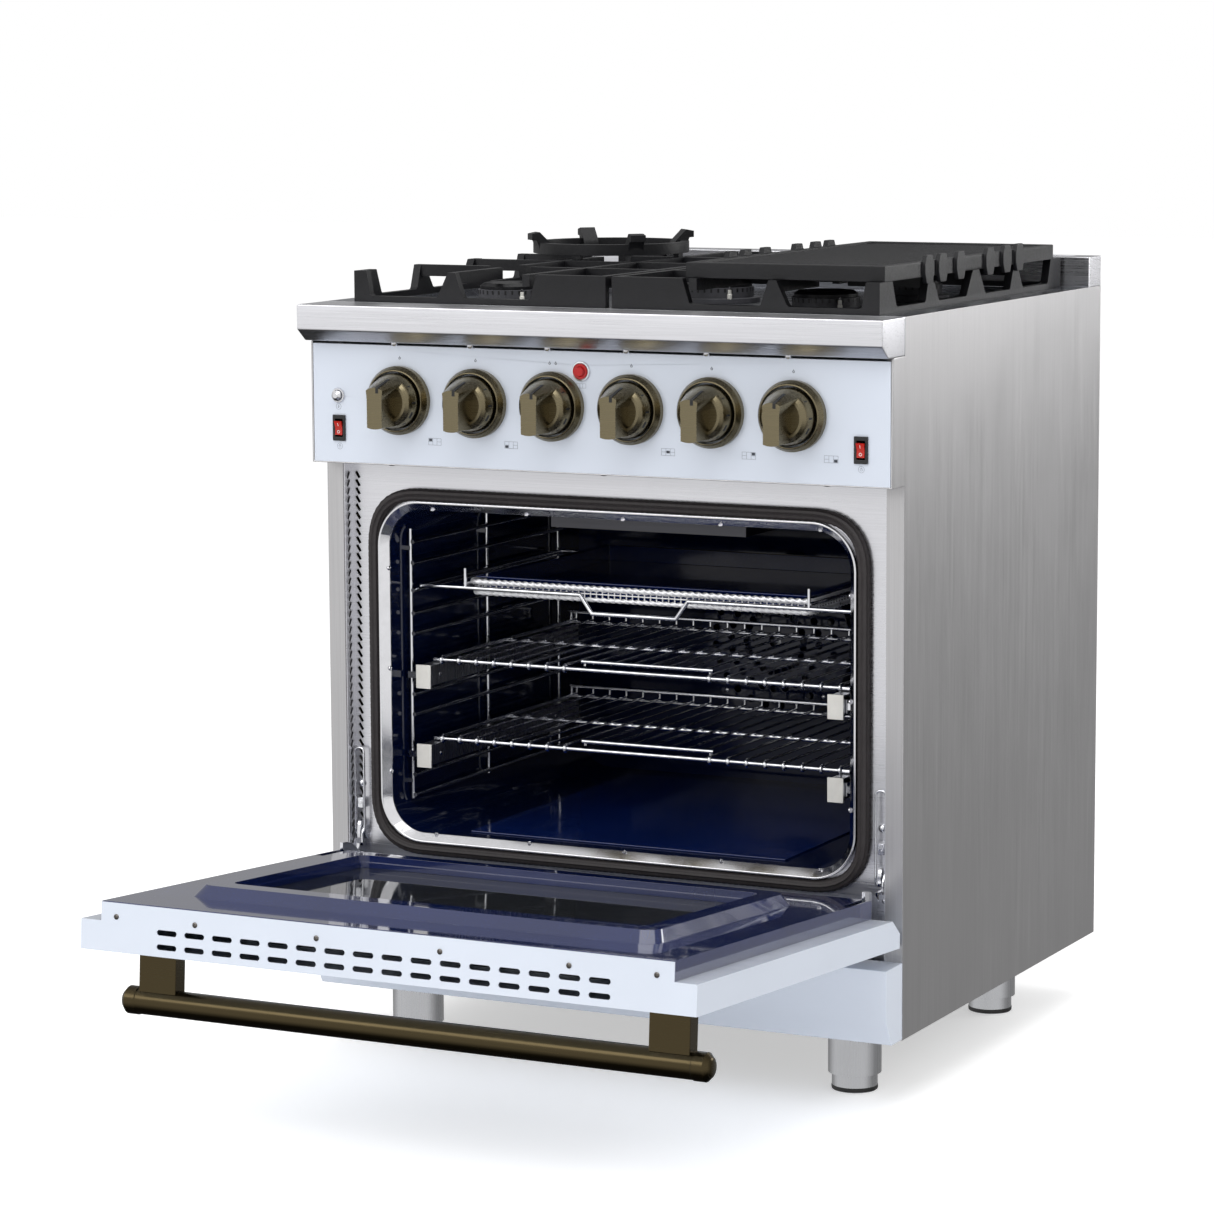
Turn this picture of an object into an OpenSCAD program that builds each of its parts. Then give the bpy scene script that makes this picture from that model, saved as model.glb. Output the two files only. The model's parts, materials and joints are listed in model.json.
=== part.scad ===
// Freestanding 30 inch gas range, drawn with its oven door open on the stop and the racks pushed in.
// Lengths are in mm. +X is right, +Y is back, +Z is up, and the floor is at Z = 0.

/* [Body] */
// width over the side panels
body_width = 757; // [600:1:1220]
// depth of the side panels
body_depth = 642; // [580:1:720]
// height of the cooktop above the floor
cooktop_height = 913; // [890:1:940]
// height of the vent riser above the cooktop
riser_height = 38; // [20:1:120]
// depth of the vent riser
riser_depth = 43; // [30:1:80]
// height of the body's underside above the floor
leg_height = 79; // [60:1:110]
// thickness of the sheet steel
sheet = 1.5; // [1:0.1:3]
// width of the front stile of each side panel
stile_width = 22; // [15:1:40]

/* [Console] */
// how far the bullnose stands in front of the side panels
bullnose_reach = 66; // [40:1:100]
// height of the bullnose's flat front face
bullnose_face = 30; // [20:1:50]
// height of the bevel under that face
bullnose_bevel = 14; // [5:1:30]
// how far the control panel stands in front of the side panels
console_reach = 34; // [20:1:60]
// height of the control panel
console_height = 142; // [100:1:180]
// distance between two knobs
knob_pitch = 102.5; // [90:0.5:130]
// outer diameter of the bezel around each knob
bezel_diameter = 82; // [60:1:95]
// diameter of the knob's skirt
knob_diameter = 66; // [40:1:75]
// how far a knob stands out from the control panel
knob_reach = 62; // [40:1:70]

/* [Oven] */
// inner width of the oven
cavity_width = 608; // [450:1:700]
// inner height of the oven
cavity_height = 396; // [300:1:450]
// inner depth of the oven
cavity_depth = 500; // [400:1:540]
// height of the oven's middle above the floor
cavity_middle = 465; // [430:1:500]
// corner radius of the oven
cavity_radius = 45; // [20:1:80]
// width of the rope gasket
gasket_width = 16; // [10:1:24]
// depth of the front frame's face behind the side panels' front edge
frame_recess = 20; // [12:1:30]
// height of the lower rack
lower_rack_height = 371; // [330:1:400]
// height of the upper rack
upper_rack_height = 469; // [420:1:500]
// height of the basket's carrying wires
basket_height = 563.5; // [540:0.5:600]

/* [Door] */
// height of the door
door_height = 542; // [450:1:560]
// thickness of the painted outer shell
door_shell = 34; // [25:1:45]
// thickness of the enamelled inner pan
door_pan = 22; // [15:1:24]
// height of the door's lower edge above the floor when it is closed
door_bottom = 177; // [172:1:200]
// angle between the closed door and the open stop, in degrees
door_open_angle = 86; // [60:1:90]
// diameter of the handle bar
handle_diameter = 32; // [20:1:40]
// length of the handle bar
handle_length = 728; // [500:1:740]
// distance from the door's face to the bar's centre
handle_standoff = 65.5; // [45:0.5:80]

/* [Cooktop] */
// sideways distance from the middle to the outer burners
burner_x = 210; // [160:1:240]
// distance from the cooktop's front edge to the front burners
burner_front_y = 162; // [130:1:200]
// distance from the cooktop's front edge to the rear burners
burner_back_y = 435; // [400:1:470]
// height of the cast iron grates
grate_height = 37; // [25:1:50]
// thickness of the grate's walls and fingers
grate_wall = 10; // [6:1:14]
// thickness of the griddle plate
griddle_thickness = 18; // [12:1:25]
// radius of the wok ring
wok_radius = 100; // [70:1:110]

/* [Hidden] */
$fn = 48;
half_w = body_width / 2;
skin_front = -50;
hinge_y = -36;
hinge_z = door_bottom + 28.4;
door_top = door_bottom + door_height;
door_far_y = hinge_y + (skin_front - hinge_y) * cos(door_open_angle)
    - (door_top - hinge_z) * sin(door_open_angle);
front_y = -(door_far_y + body_depth) / 2;
console_bottom = cooktop_height - bullnose_face - bullnose_bevel - 4 - console_height;
console_top = console_bottom + console_height;
bullnose_bottom = cooktop_height - bullnose_face - bullnose_bevel;
knob_z = console_bottom + 77;
panel_face = -console_reach;
frame_y = frame_recess;
frame_half = half_w - stile_width;
opening_w = cavity_width + 22;
opening_h = cavity_height + 22;
opening_r = cavity_radius + 11;
cavity_bottom = cavity_middle - cavity_height / 2;
cavity_top = cavity_middle + cavity_height / 2;
liner_front = frame_y + sheet;
liner_back = liner_front + cavity_depth;
fan_z = 457;
kick_top = 170.5;
kick_face = -48;
pan_half = frame_half - 4.5;
pan_face = skin_front + door_shell + door_pan;
pan_bottom = 200;
handle_y = skin_front - handle_standoff;
handle_z = door_top - 73;
post_x = 318;
arm_x = 345;
grate_top = cooktop_height + grate_height;
grate_front = 10;
grate_back = 592;
grate_outer = 343;
grate_inner = 4;
grate_mid = (grate_front + grate_back) / 2;
leg_x = 294;
leg_front = 59;
leg_back = 493;
runner_in = 266;
runner_out = 282.5;
griddle_left = 95;
griddle_right = 345;
burners = [
    [-burner_x, burner_front_y, 40],
    [-burner_x, burner_back_y, 34],
    [0, grate_mid, 48],
    [burner_x, burner_front_y, 40],
    [burner_x, burner_back_y, 34]
];

// ---- helpers ----

module placed() {
    translate([0, front_y, 0]) children();
}

// pieces drawn closed and upright, then swung open about the hinge pins
module on_door() {
    placed()
        translate([0, hinge_y, hinge_z])
            rotate([door_open_angle, 0, 0])
                translate([0, -hinge_y, -hinge_z]) children();
}

module both_sides() {
    children();
    mirror([1, 0, 0]) children();
}

// a box given by its two corners
module block(a, b) {
    translate(a) cube(b - a);
}

// a flat shape drawn in X and Z, reaching from y0 back to y1
module upright(y0, y1) {
    translate([0, y1, 0]) rotate([90, 0, 0]) linear_extrude(y1 - y0) children();
}

// a side profile drawn in Y and Z, reaching from x0 to x1
module sideways(x0, x1) {
    translate([x0, 0, 0]) rotate([90, 0, 90]) linear_extrude(x1 - x0) children();
}

module rounded_rect(w, h, r) {
    square([w - 2 * r, h], center = true);
    square([w, h - 2 * r], center = true);
    for (sx = [-1, 1]) {
        for (sz = [-1, 1]) {
            translate([sx * (w / 2 - r), sz * (h / 2 - r)]) circle(r = r);
        }
    }
}

module at_oven() {
    translate([0, cavity_middle]) children();
}

// a round bar between two points on a line along Y, X or Z
module bar_y(x, z, y0, y1, r) {
    translate([x, y0, z]) rotate([-90, 0, 0]) cylinder(h = y1 - y0, r = r);
}

module bar_x(y, z, x0, x1, r) {
    translate([x0, y, z]) rotate([0, 90, 0]) cylinder(h = x1 - x0, r = r);
}

module bar_z(x, y, z0, z1, r) {
    translate([x, y, z0]) cylinder(h = z1 - z0, r = r);
}

// ---- body ----

module side_panel() {
    block([half_w - sheet, 0, leg_height], [half_w, body_depth, cooktop_height]);
    block([frame_half, 0, leg_height], [half_w, sheet, cooktop_height - sheet]);
}

module side_panel_left() {
    color("silver") placed() mirror([1, 0, 0]) side_panel();
}

module side_panel_right() {
    color("silver") placed() side_panel();
}

module back_panel() {
    color("gainsboro") placed() difference() {
        block([-half_w + sheet, body_depth - 3, leg_height + sheet],
            [half_w - sheet, body_depth - sheet, cooktop_height - sheet]);
        bar_y(330, 300, body_depth - 10, body_depth + 1, 24);
        bar_y(-300, 180, body_depth - 10, body_depth + 1, 16);
        for (x = [-210:60:210]) {
            block([x - 18, body_depth - 10, 700], [x + 18, body_depth, 706]);
            block([x - 18, body_depth - 10, 720], [x + 18, body_depth, 726]);
        }
    }
}

module base_pan() {
    color("gray") placed() difference() {
        union() {
            block([-half_w + sheet, sheet, leg_height],
                [half_w - sheet, body_depth - 3, leg_height + sheet]);
            block([-half_w + sheet, sheet, leg_height], [half_w - sheet, 2 * sheet, leg_height + 26]);
        }
        for (x = [-leg_x, leg_x]) {
            for (y = [leg_front, leg_back]) {
                bar_z(x, y, leg_height - 1, leg_height + 3, 5.2);
            }
        }
    }
}

module front_frame() {
    color("lightgray") placed() difference() {
        union() {
            block([-frame_half, frame_y, 108], [frame_half, frame_y + sheet, console_bottom - 1.5]);
            both_sides() {
                block([frame_half - sheet, sheet, 108], [frame_half, frame_y, console_bottom - 1.5]);
                block([frame_half - sheet, sheet, 108], [frame_half + 10, 2 * sheet, console_bottom - 1.5]);
            }
        }
        upright(frame_y - 1, frame_y + 3) at_oven() rounded_rect(opening_w, opening_h, opening_r);
        // slanted vents: a column in each return wall, and one beside it in the left-hand face only
        for (z = [252:10:702]) {
            both_sides() translate([frame_half, frame_y / 2, z]) rotate([-30, 0, 0])
                cube([6, 3.6, 8.6], center = true);
            translate([9 - frame_half, frame_y + 1, z]) rotate([0, -32, 0])
                cube([3.6, 6, 9], center = true);
        }
    }
}

module bullnose() {
    flat_z = cooktop_height - bullnose_face;
    bevel_y = -bullnose_reach + 18;
    color("silver") placed() difference() {
        sideways(-half_w, half_w) polygon([
            [0, cooktop_height], [-bullnose_reach, cooktop_height], [-bullnose_reach, flat_z],
            [bevel_y, bullnose_bottom], [0, bullnose_bottom]
        ]);
        sideways(-half_w + sheet, half_w - sheet) polygon([
            [1, cooktop_height - sheet], [-bullnose_reach + sheet, cooktop_height - sheet],
            [-bullnose_reach + sheet, flat_z + 0.6], [bevel_y + 0.6, bullnose_bottom + sheet],
            [1, bullnose_bottom + sheet]
        ]);
    }
}

module console_box() {
    color("silver") placed() {
        block([-half_w, panel_face, console_bottom - 1.5], [half_w, 0, console_bottom]);
        block([-half_w, panel_face + 2, bullnose_bottom - sheet], [half_w, 0, bullnose_bottom]);
        both_sides()
            block([half_w - 2.5, panel_face, console_bottom], [half_w, 0, bullnose_bottom - sheet]);
    }
}

module control_panel() {
    color("white") placed() difference() {
        union() {
            block([-half_w + 3, panel_face, console_bottom], [half_w - 3, panel_face + sheet, console_top]);
            block([-half_w + 3, panel_face, console_top - sheet], [half_w - 3, -8, console_top]);
        }
        for (i = [0:5]) {
            bar_y((i - 2.5) * knob_pitch, knob_z, panel_face - 5, panel_face + 5, 9);
        }
        bar_y(-14, knob_z + 42, panel_face - 5, panel_face + 5, 7);
        bar_y(-341, knob_z + 3, panel_face - 5, panel_face + 5, 4);
        for (s = [-1, 1]) {
            block([s * 340 - 6.5, panel_face - 5, knob_z - 48], [s * 340 + 6.5, panel_face + 5, knob_z - 24]);
        }
    }
}

module cooktop_tray() {
    rim = cooktop_height - sheet;
    color("dimgray") placed() difference() {
        union() {
            block([-half_w + sheet, 0, rim], [half_w - sheet, body_depth - riser_depth, cooktop_height]);
            block([-331, 24, rim - 9], [331, 580, rim]);
        }
        block([-331 + sheet, 24 + sheet, rim - 9 + sheet], [331 - sheet, 580 - sheet, cooktop_height + 1]);
        for (b = burners) {
            bar_z(b[0], b[1], rim - 20, rim, 25);
        }
    }
}

module vent_riser() {
    top = cooktop_height + riser_height;
    y0 = body_depth - riser_depth;
    color("silver") placed() difference() {
        block([-half_w, y0, cooktop_height], [half_w, body_depth, top]);
        block([-half_w + sheet, y0 + sheet, cooktop_height - 1],
            [half_w - sheet, body_depth - sheet, top - sheet]);
        for (x = [-330:44:330]) {
            block([x - 17, y0 + 12, top - 5], [x + 17, y0 + 18, top + 1]);
            block([x - 17, y0 + 25, top - 5], [x + 17, y0 + 31, top + 1]);
        }
    }
}

module kick_panel() {
    color("white") placed() difference() {
        sideways(-half_w, half_w) polygon([
            [0, kick_top], [kick_face, kick_top], [kick_face, 111], [kick_face + 17, leg_height + 1],
            [0, leg_height + 1]
        ]);
        sideways(-half_w + sheet, half_w - sheet) polygon([
            [1, kick_top - sheet], [kick_face + sheet, kick_top - sheet], [kick_face + sheet, 111.4],
            [kick_face + 18, leg_height + 1 + sheet], [1, leg_height + 1 + sheet]
        ]);
    }
}

module leg_collars() {
    color("silver") placed() for (x = [-leg_x, leg_x]) {
        for (y = [leg_front, leg_back]) {
            difference() {
                union() {
                    bar_z(x, y, 21, leg_height, 31.5);
                    bar_z(x, y, leg_height - 1, leg_height + 12, 5);
                }
                bar_z(x, y, 20, leg_height - 4, 27.5);
            }
        }
    }
}

module foot(x, y) {
    color("lightgray") placed() difference() {
        union() {
            bar_z(x, y, 3, 70, 27);
            bar_z(x, y, 0, 3, 26);
        }
        bar_z(x, y, 8, 71, 24);
    }
}

module foot_front_left() {
    foot(-leg_x, leg_front);
}

module foot_front_right() {
    foot(leg_x, leg_front);
}

module foot_back_left() {
    foot(-leg_x, leg_back);
}

module foot_back_right() {
    foot(leg_x, leg_back);
}

// ---- oven ----

module oven_liner() {
    color("navy") placed() difference() {
        union() {
            upright(liner_front, liner_front + sheet) at_oven()
                rounded_rect(opening_w + 20, opening_h + 20, opening_r + 10);
            upright(liner_front, liner_back + sheet) at_oven()
                rounded_rect(cavity_width + 3, cavity_height + 3, cavity_radius + 1.5);
        }
        upright(liner_front - 1, liner_back) at_oven()
            rounded_rect(cavity_width, cavity_height, cavity_radius);
        bar_y(0, fan_z, liner_back - 1, liner_back + 3, 7);
        block([-190, 90, cavity_bottom - 5], [190, 430, cavity_bottom + 1]);
    }
}

module insulation_wrap() {
    color("khaki") placed() difference() {
        block([-342, liner_front + sheet, 236], [342, liner_back + 32, 704]);
        upright(liner_front, liner_back + sheet + 0.5) at_oven()
            rounded_rect(cavity_width + 4, cavity_height + 4, cavity_radius + 2);
        block([-250, liner_front, 230], [250, 480, cavity_bottom + 5]);
        bar_y(0, fan_z, liner_back, liner_back + 40, 22);
    }
}

module door_gasket() {
    half_x = opening_w / 2 - opening_r;
    half_z = opening_h / 2 - opening_r;
    r = opening_r + gasket_width / 2;
    color("black") placed() translate([0, frame_y, cavity_middle]) rotate([90, 0, 0]) {
        for (s = [-1, 1]) {
            translate([-half_x, s * (half_z + r), 0]) rotate([90, 0, 90])
                linear_extrude(2 * half_x) rope_section();
            translate([s * (half_x + r), half_z, 0]) rotate([90, 0, 0])
                linear_extrude(2 * half_z) rope_section();
        }
        for (q = [0:3]) {
            sx = (q == 0 || q == 3) ? 1 : -1;
            sz = q < 2 ? 1 : -1;
            translate([sx * half_x, sz * half_z, 0]) rotate([0, 0, 90 * q])
                rotate_extrude(angle = 90) translate([r, 0]) rope_section();
        }
    }
}

module rope_section() {
    intersection() {
        translate([0, 5]) circle(r = gasket_width / 2);
        translate([-gasket_width / 2, 0]) square([gasket_width, 13]);
    }
}

module opening_trim() {
    color("silver") placed() difference() {
        upright(frame_y - 10, liner_front) at_oven()
            rounded_rect(opening_w - 0.2, opening_h - 0.2, opening_r);
        upright(frame_y - 11, liner_front + 1) at_oven()
            rounded_rect(cavity_width, cavity_height, cavity_radius);
        // the inside flares out to a thin front lip
        hull() {
            upright(frame_y - 10.5, frame_y - 10.4) at_oven()
                rounded_rect(opening_w - 4, opening_h - 4, opening_r - 2);
            upright(liner_front - 2.1, liner_front - 2) at_oven()
                rounded_rect(cavity_width, cavity_height, cavity_radius);
        }
    }
}

module oven_floor_plate() {
    color("navy") placed()
        block([-210, 46, cavity_bottom], [210, 476, cavity_bottom + 2]);
}

module fan_cover() {
    front = liner_back - 42;
    color("navy") placed() difference() {
        bar_y(0, fan_z, front, liner_back, 105);
        bar_y(0, fan_z, front + sheet, liner_back + 1, 103.5);
        for (a = [0:15:345]) {
            for (r = [40, 62, 84]) {
                translate([0, 0, fan_z]) rotate([0, a + r, 0])
                    bar_y(r, 0, front - 1, front + 3, 4.5);
            }
        }
        bar_y(0, fan_z, front - 1, front + 3, 8);
    }
}

module convection_fan() {
    color("silver") placed() {
        difference() {
            bar_y(0, fan_z, liner_back - 30, liner_back - 12, 14);
            bar_y(0, fan_z, liner_back - 31, liner_back - 26, 5);
        }
        bar_y(0, fan_z, liner_back - 14, liner_back + 50, 4);
        for (a = [0:60:300]) {
            translate([0, liner_back - 21, fan_z]) rotate([0, a, 0]) rotate([35, 0, 0])
                translate([12, -1, -9]) cube([58, 2, 18]);
        }
    }
}

module fan_motor() {
    color("gray") placed() difference() {
        union() {
            bar_y(0, fan_z, liner_back + sheet, liner_back + 34, 17);
            bar_y(0, fan_z, liner_back + 33, liner_back + 78, 36);
        }
        bar_y(0, fan_z, liner_back, liner_back + 60, 4.6);
    }
}

module oven_burners() {
    color("gray") placed() {
        // bake burner under the floor plate
        both_sides() {
            bar_y(110, 232, 90, 420, 10);
            block([104, 95, 240], [116, 101, cavity_bottom - sheet]);
            block([104, 405, 240], [116, 411, cavity_bottom - sheet]);
            block([104, 84, cavity_bottom - 3.5], [116, 101, cavity_bottom - sheet]);
            block([104, 405, cavity_bottom - 3.5], [116, 436, cavity_bottom - sheet]);
        }
        bar_x(410, 232, -110, 110, 10);
        // broil burner under the oven's ceiling
        difference() {
            block([-130, 110, cavity_top - 24], [130, 410, cavity_top]);
            block([-118, 122, cavity_top - 25], [118, 398, cavity_top - 18]);
        }
    }
}

module guide_side() {
    $fn = 16;
    for (y = [60, 255, 450]) {
        bar_z(298, y, 300, 634, 2.5);
        block([297, y - 2.5, 320], [cavity_width / 2, y + 2.5, 325]);
        block([297, y - 2.5, 608], [cavity_width / 2, y + 2.5, 613]);
    }
    for (z = [305, 330, 405, 430, 505, 530, basket_height - 5.3, 592, 618]) {
        bar_y(293.5, z, 57, 453, 2.5);
    }
    for (z = [lower_rack_height, upper_rack_height]) {
        block([283, 52, z - 22], [286, 452, z - 6]);
        for (y = [60, 255, 450]) {
            block([284, y - 8, z - 18], [299, y + 8, z - 10]);
        }
    }
}

module rack_guides() {
    color("silver") placed() both_sides() guide_side();
}

// the moving half of a telescopic slide, with its end cap
module runner(z) {
    difference() {
        block([runner_in, 49, z - 26], [runner_out, 445, z - 1]);
        block([runner_in + 2, 52, z - 24], [runner_out + 1, 446, z - 3]);
    }
    block([runner_in - 2, 46, z - 29], [runner_out + 1.5, 49, z]);
}

module lower_runners() {
    color("silver") placed() both_sides() runner(lower_rack_height);
}

module upper_runners() {
    color("silver") placed() both_sides() runner(upper_rack_height);
}

module rack(z) {
    $fn = 16;
    r = 2.5;
    wire = 1.75;
    bar_x(80, z + r, -278, 278, r);
    bar_x(440, z + r, -278, 278, r);
    bar_x(440, z + 16, -276, 276, r);
    both_sides() {
        bar_y(274, z + r, 80, 440, r);
        bar_z(274, 440, z + r, z + 16, r);
    }
    bar_x(260, z + r, -274, 274, r);
    bar_x(108, z + r + 5, -88, 88, r);
    for (i = [-11:11]) {
        x = i * 24.2;
        y0 = abs(i) < 4 ? 108 : 80;
        bar_y(x, z + r + 4, y0, 440, wire);
        bar_z(x, 440, z + r, z + 16, wire);
    }
    both_sides() bar_z(84, 108, z + r, z + r + 5, wire);
    for (i = [-11:11]) {
        x = i * 24.2;
        if (abs(i) > 3) {
            bar_z(x, 80, z + r, z + r + 5, wire);
        }
    }
}

module lower_rack() {
    color("silver") placed() rack(lower_rack_height);
}

module upper_rack() {
    color("silver") placed() rack(upper_rack_height);
}

module basket_frame() {
    $fn = 24;
    z = basket_height;
    r = 2.5;
    color("silver") placed() {
        both_sides() {
            bar_x(72, z, 72, 291, r);
            // the front wire dips in the middle
            translate([56, 72, z - 22]) rotate([0, atan2(16, 22), 0]) cylinder(h = norm([16, 22]), r = r);
            translate([72, 72, z]) sphere(r = r);
            translate([56, 72, z - 22]) sphere(r = r);
            bar_y(291, z, 72, 445, r);
            translate([291, 72, z]) sphere(r = r);
            translate([291, 445, z]) sphere(r = r);
            bar_z(228.8, 72, z, z + 24, 2);
            // rail that carries the basket's rim
            bar_y(228.8, z + 5.4, 72, 445, 2.5);
        }
        bar_x(72, z - 22, -56, 56, r);
        bar_x(445, z, -291, 291, r);
    }
}

module fry_basket() {
    z = basket_height;
    color("lightgray") placed() difference() {
        union() {
            block([-226, 84, z - 10], [226, 440, z + 10]);
            block([-231, 79, z + 8], [231, 442.5, z + 11]);
        }
        block([-224, 86, z - 8], [224, 438, z + 12]);
    }
}

module fry_tray() {
    z = basket_height;
    color("navy") placed() difference() {
        union() {
            block([-212, 96, z - 8], [212, 428, z + 13]);
            block([-222, 88, z + 11.5], [222, 436, z + 13]);
        }
        block([-210, 98, z - 6], [210, 426, z + 14]);
    }
}

// ---- gas and controls ----

module gas_manifold() {
    r = 11;
    color("gray") placed() difference() {
        union() {
            bar_x(32, knob_z, -340, 340, r);
            translate([340, 32, knob_z]) sphere(r = r);
            bar_y(340, knob_z, 32, 600, r);
            translate([340, 600, knob_z]) sphere(r = r);
            bar_z(340, 600, 320, knob_z, r);
            both_sides() block([338, 26, knob_z - 5], [half_w - sheet, 38, knob_z + 5]);
            block([306, 580, 275], [364, 620, 325]);
            bar_y(330, 300, 618, body_depth - 0.5, 16);
        }
        bar_y(330, 300, body_depth - 17, body_depth, 9.5);
    }
}

module gas_valves() {
    color("goldenrod") placed() for (i = [0:5]) {
        x = (i - 2.5) * knob_pitch;
        difference() {
            union() {
                block([x - 15, -18, knob_z - 17], [x + 15, 30, knob_z + 17]);
                bar_y(x, knob_z, -28, -17, 9);
            }
            bar_x(32, knob_z, x - 20, x + 20, 11);
            bar_y(x, knob_z, -30, 2, 4.5);
        }
    }
}

module power_inlet() {
    color("black") placed() difference() {
        union() {
            bar_y(-300, 180, body_depth - 30, body_depth - 3, 21);
            bar_y(-300, 180, body_depth - 4, body_depth - 0.5, 15.5);
        }
        bar_y(-300, 180, body_depth - 20, body_depth, 6);
    }
}

module burner_bases() {
    floor_z = cooktop_height - 9;
    color("silver") placed() for (b = burners) {
        translate([b[0], b[1], 0]) difference() {
            union() {
                bar_z(0, 0, floor_z, floor_z + 6, b[2] + 8);
                bar_z(0, 0, floor_z + 5, floor_z + 19, b[2]);
                bar_z(0, 0, floor_z - 30, floor_z + 1, 22);
            }
            bar_z(0, 0, floor_z - 31, floor_z + 20, 17);
        }
    }
}

module burner_caps() {
    z = cooktop_height - 9 + 19;
    color("black") placed() for (b = burners) {
        translate([b[0], b[1], z]) rotate_extrude() polygon([
            [0, 0], [b[2] - 2, 0], [b[2] - 2, 4], [b[2] - 7, 7.5], [0, 7.5]
        ]);
    }
}

module knob_bezels() {
    r = bezel_diameter / 2;
    color("peru") placed() for (i = [0:5]) {
        translate([(i - 2.5) * knob_pitch, panel_face, knob_z]) rotate([90, 0, 0])
            rotate_extrude($fn = 96) polygon([
                [r - 5.5, 0], [r, 0], [r, 8], [r - 1, 9.2], [r - 3.2, 13.6], [r - 4.4, 15], [r - 5.5, 15]
            ]);
    }
}

// one piece: skirt, grip and the shaft that turns the valve
module knob(i) {
    r = knob_diameter / 2;
    color("peru") placed() translate([(i - 3.5) * knob_pitch, panel_face, knob_z]) {
        rotate([90, 0, 0]) rotate_extrude($fn = 96) polygon([
            [0, 25], [r - 7, 25], [r - 4, 20], [r - 4, 8], [r, 8], [r, 17],
            [r - 3.5, 28.5], [r - 8, 32.5], [r - 11.2, 33], [r - 13, 29], [0, 29]
        ]);
        // the grip is a straight wall below and widens to a wedge above
        intersection() {
            block([-10, -knob_reach, -30], [10, -28, 12]);
            rotate([90, 0, 0]) cylinder(h = 70, r = r - 3.3, $fn = 96);
        }
        intersection() {
            rotate([90, 0, 0]) hull() {
                translate([0, 0, knob_reach - 1]) linear_extrude(1) polygon([
                    [-10, 6], [10, 6], [11, 15], [11, 20], [-11, 20], [-11, 15]
                ]);
                translate([0, 0, 28.5]) linear_extrude(1) polygon([
                    [-10.5, 6], [10.5, 6], [10.6, 13], [18.5, 21.6], [18.5, 30], [-18.5, 30],
                    [-18.5, 21.6], [-10.6, 13]
                ]);
            }
            rotate([90, 0, 0]) cylinder(h = 63, r1 = r + 5.1, r2 = r - 13.8, $fn = 96);
        }
        bar_y(0, 0, -27, 33, 4);
        bar_y(0, 0, -27, -12, 8);
    }
}

module knob_1() {
    knob(1);
}

module knob_2() {
    knob(2);
}

module knob_3() {
    knob(3);
}

module knob_4() {
    knob(4);
}

module knob_5() {
    knob(5);
}

module knob_6() {
    knob(6);
}

module indicator_lamp() {
    color("red") placed() translate([-14, panel_face, knob_z + 42]) rotate([90, 0, 0]) {
        cylinder(h = 3, r = 9);
        translate([0, 0, -14]) cylinder(h = 15, r = 6.6);
        translate([0, 0, 3]) cylinder(h = 3, r1 = 6.5, r2 = 5);
    }
}

module switch_frames() {
    color("black") placed() for (s = [-1, 1]) {
        x = s * 340;
        z = knob_z - 36;
        difference() {
            union() {
                block([x - 8.5, panel_face - 2.5, z - 15.5], [x + 8.5, panel_face, z + 15.5]);
                block([x - 6.2, panel_face, z - 11.7], [x + 6.2, panel_face + 16, z + 11.7]);
            }
            block([x - 5.2, panel_face - 3, z - 10.7], [x + 5.2, panel_face + 14, z + 10.7]);
        }
    }
}

module rocker(x) {
    z = knob_z - 36;
    color("red") placed() translate([0, panel_face + 4, z])
        sideways(x - 4.8, x + 4.8) polygon([
            [3, -5.5], [-4, -8], [-7, -8.4], [-6.5, 0], [-10, 8.4], [-4, 8], [3, 5.5]
        ]);
    color("red") placed() bar_x(panel_face + 4, z, x - 5.1, x + 5.1, 1.5);
}

module rocker_left() {
    rocker(-340);
}

module rocker_right() {
    rocker(340);
}

module push_button() {
    color("silver") placed() translate([-341, panel_face, knob_z + 3]) rotate([90, 0, 0]) {
        translate([0, 0, -14]) cylinder(h = 17, r = 3.5);
        translate([0, 0, 2.5]) cylinder(h = 4, r = 6);
        translate([0, 0, 6.5]) cylinder(h = 2, r1 = 6, r2 = 3);
    }
}

// ---- cooktop ----

// one window cut in a grate's wall; its edges lean outward by lean0 and lean1 toward the top
module wall_window(u0, u1, lean0, lean1) {
    polygon([
        [u0, cooktop_height + 9], [u0 + 3, cooktop_height + 7], [u1 - 3, cooktop_height + 7],
        [u1, cooktop_height + 9], [u1 + lean1, grate_top + 1], [u0 - lean0, grate_top + 1]
    ]);
}

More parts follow.
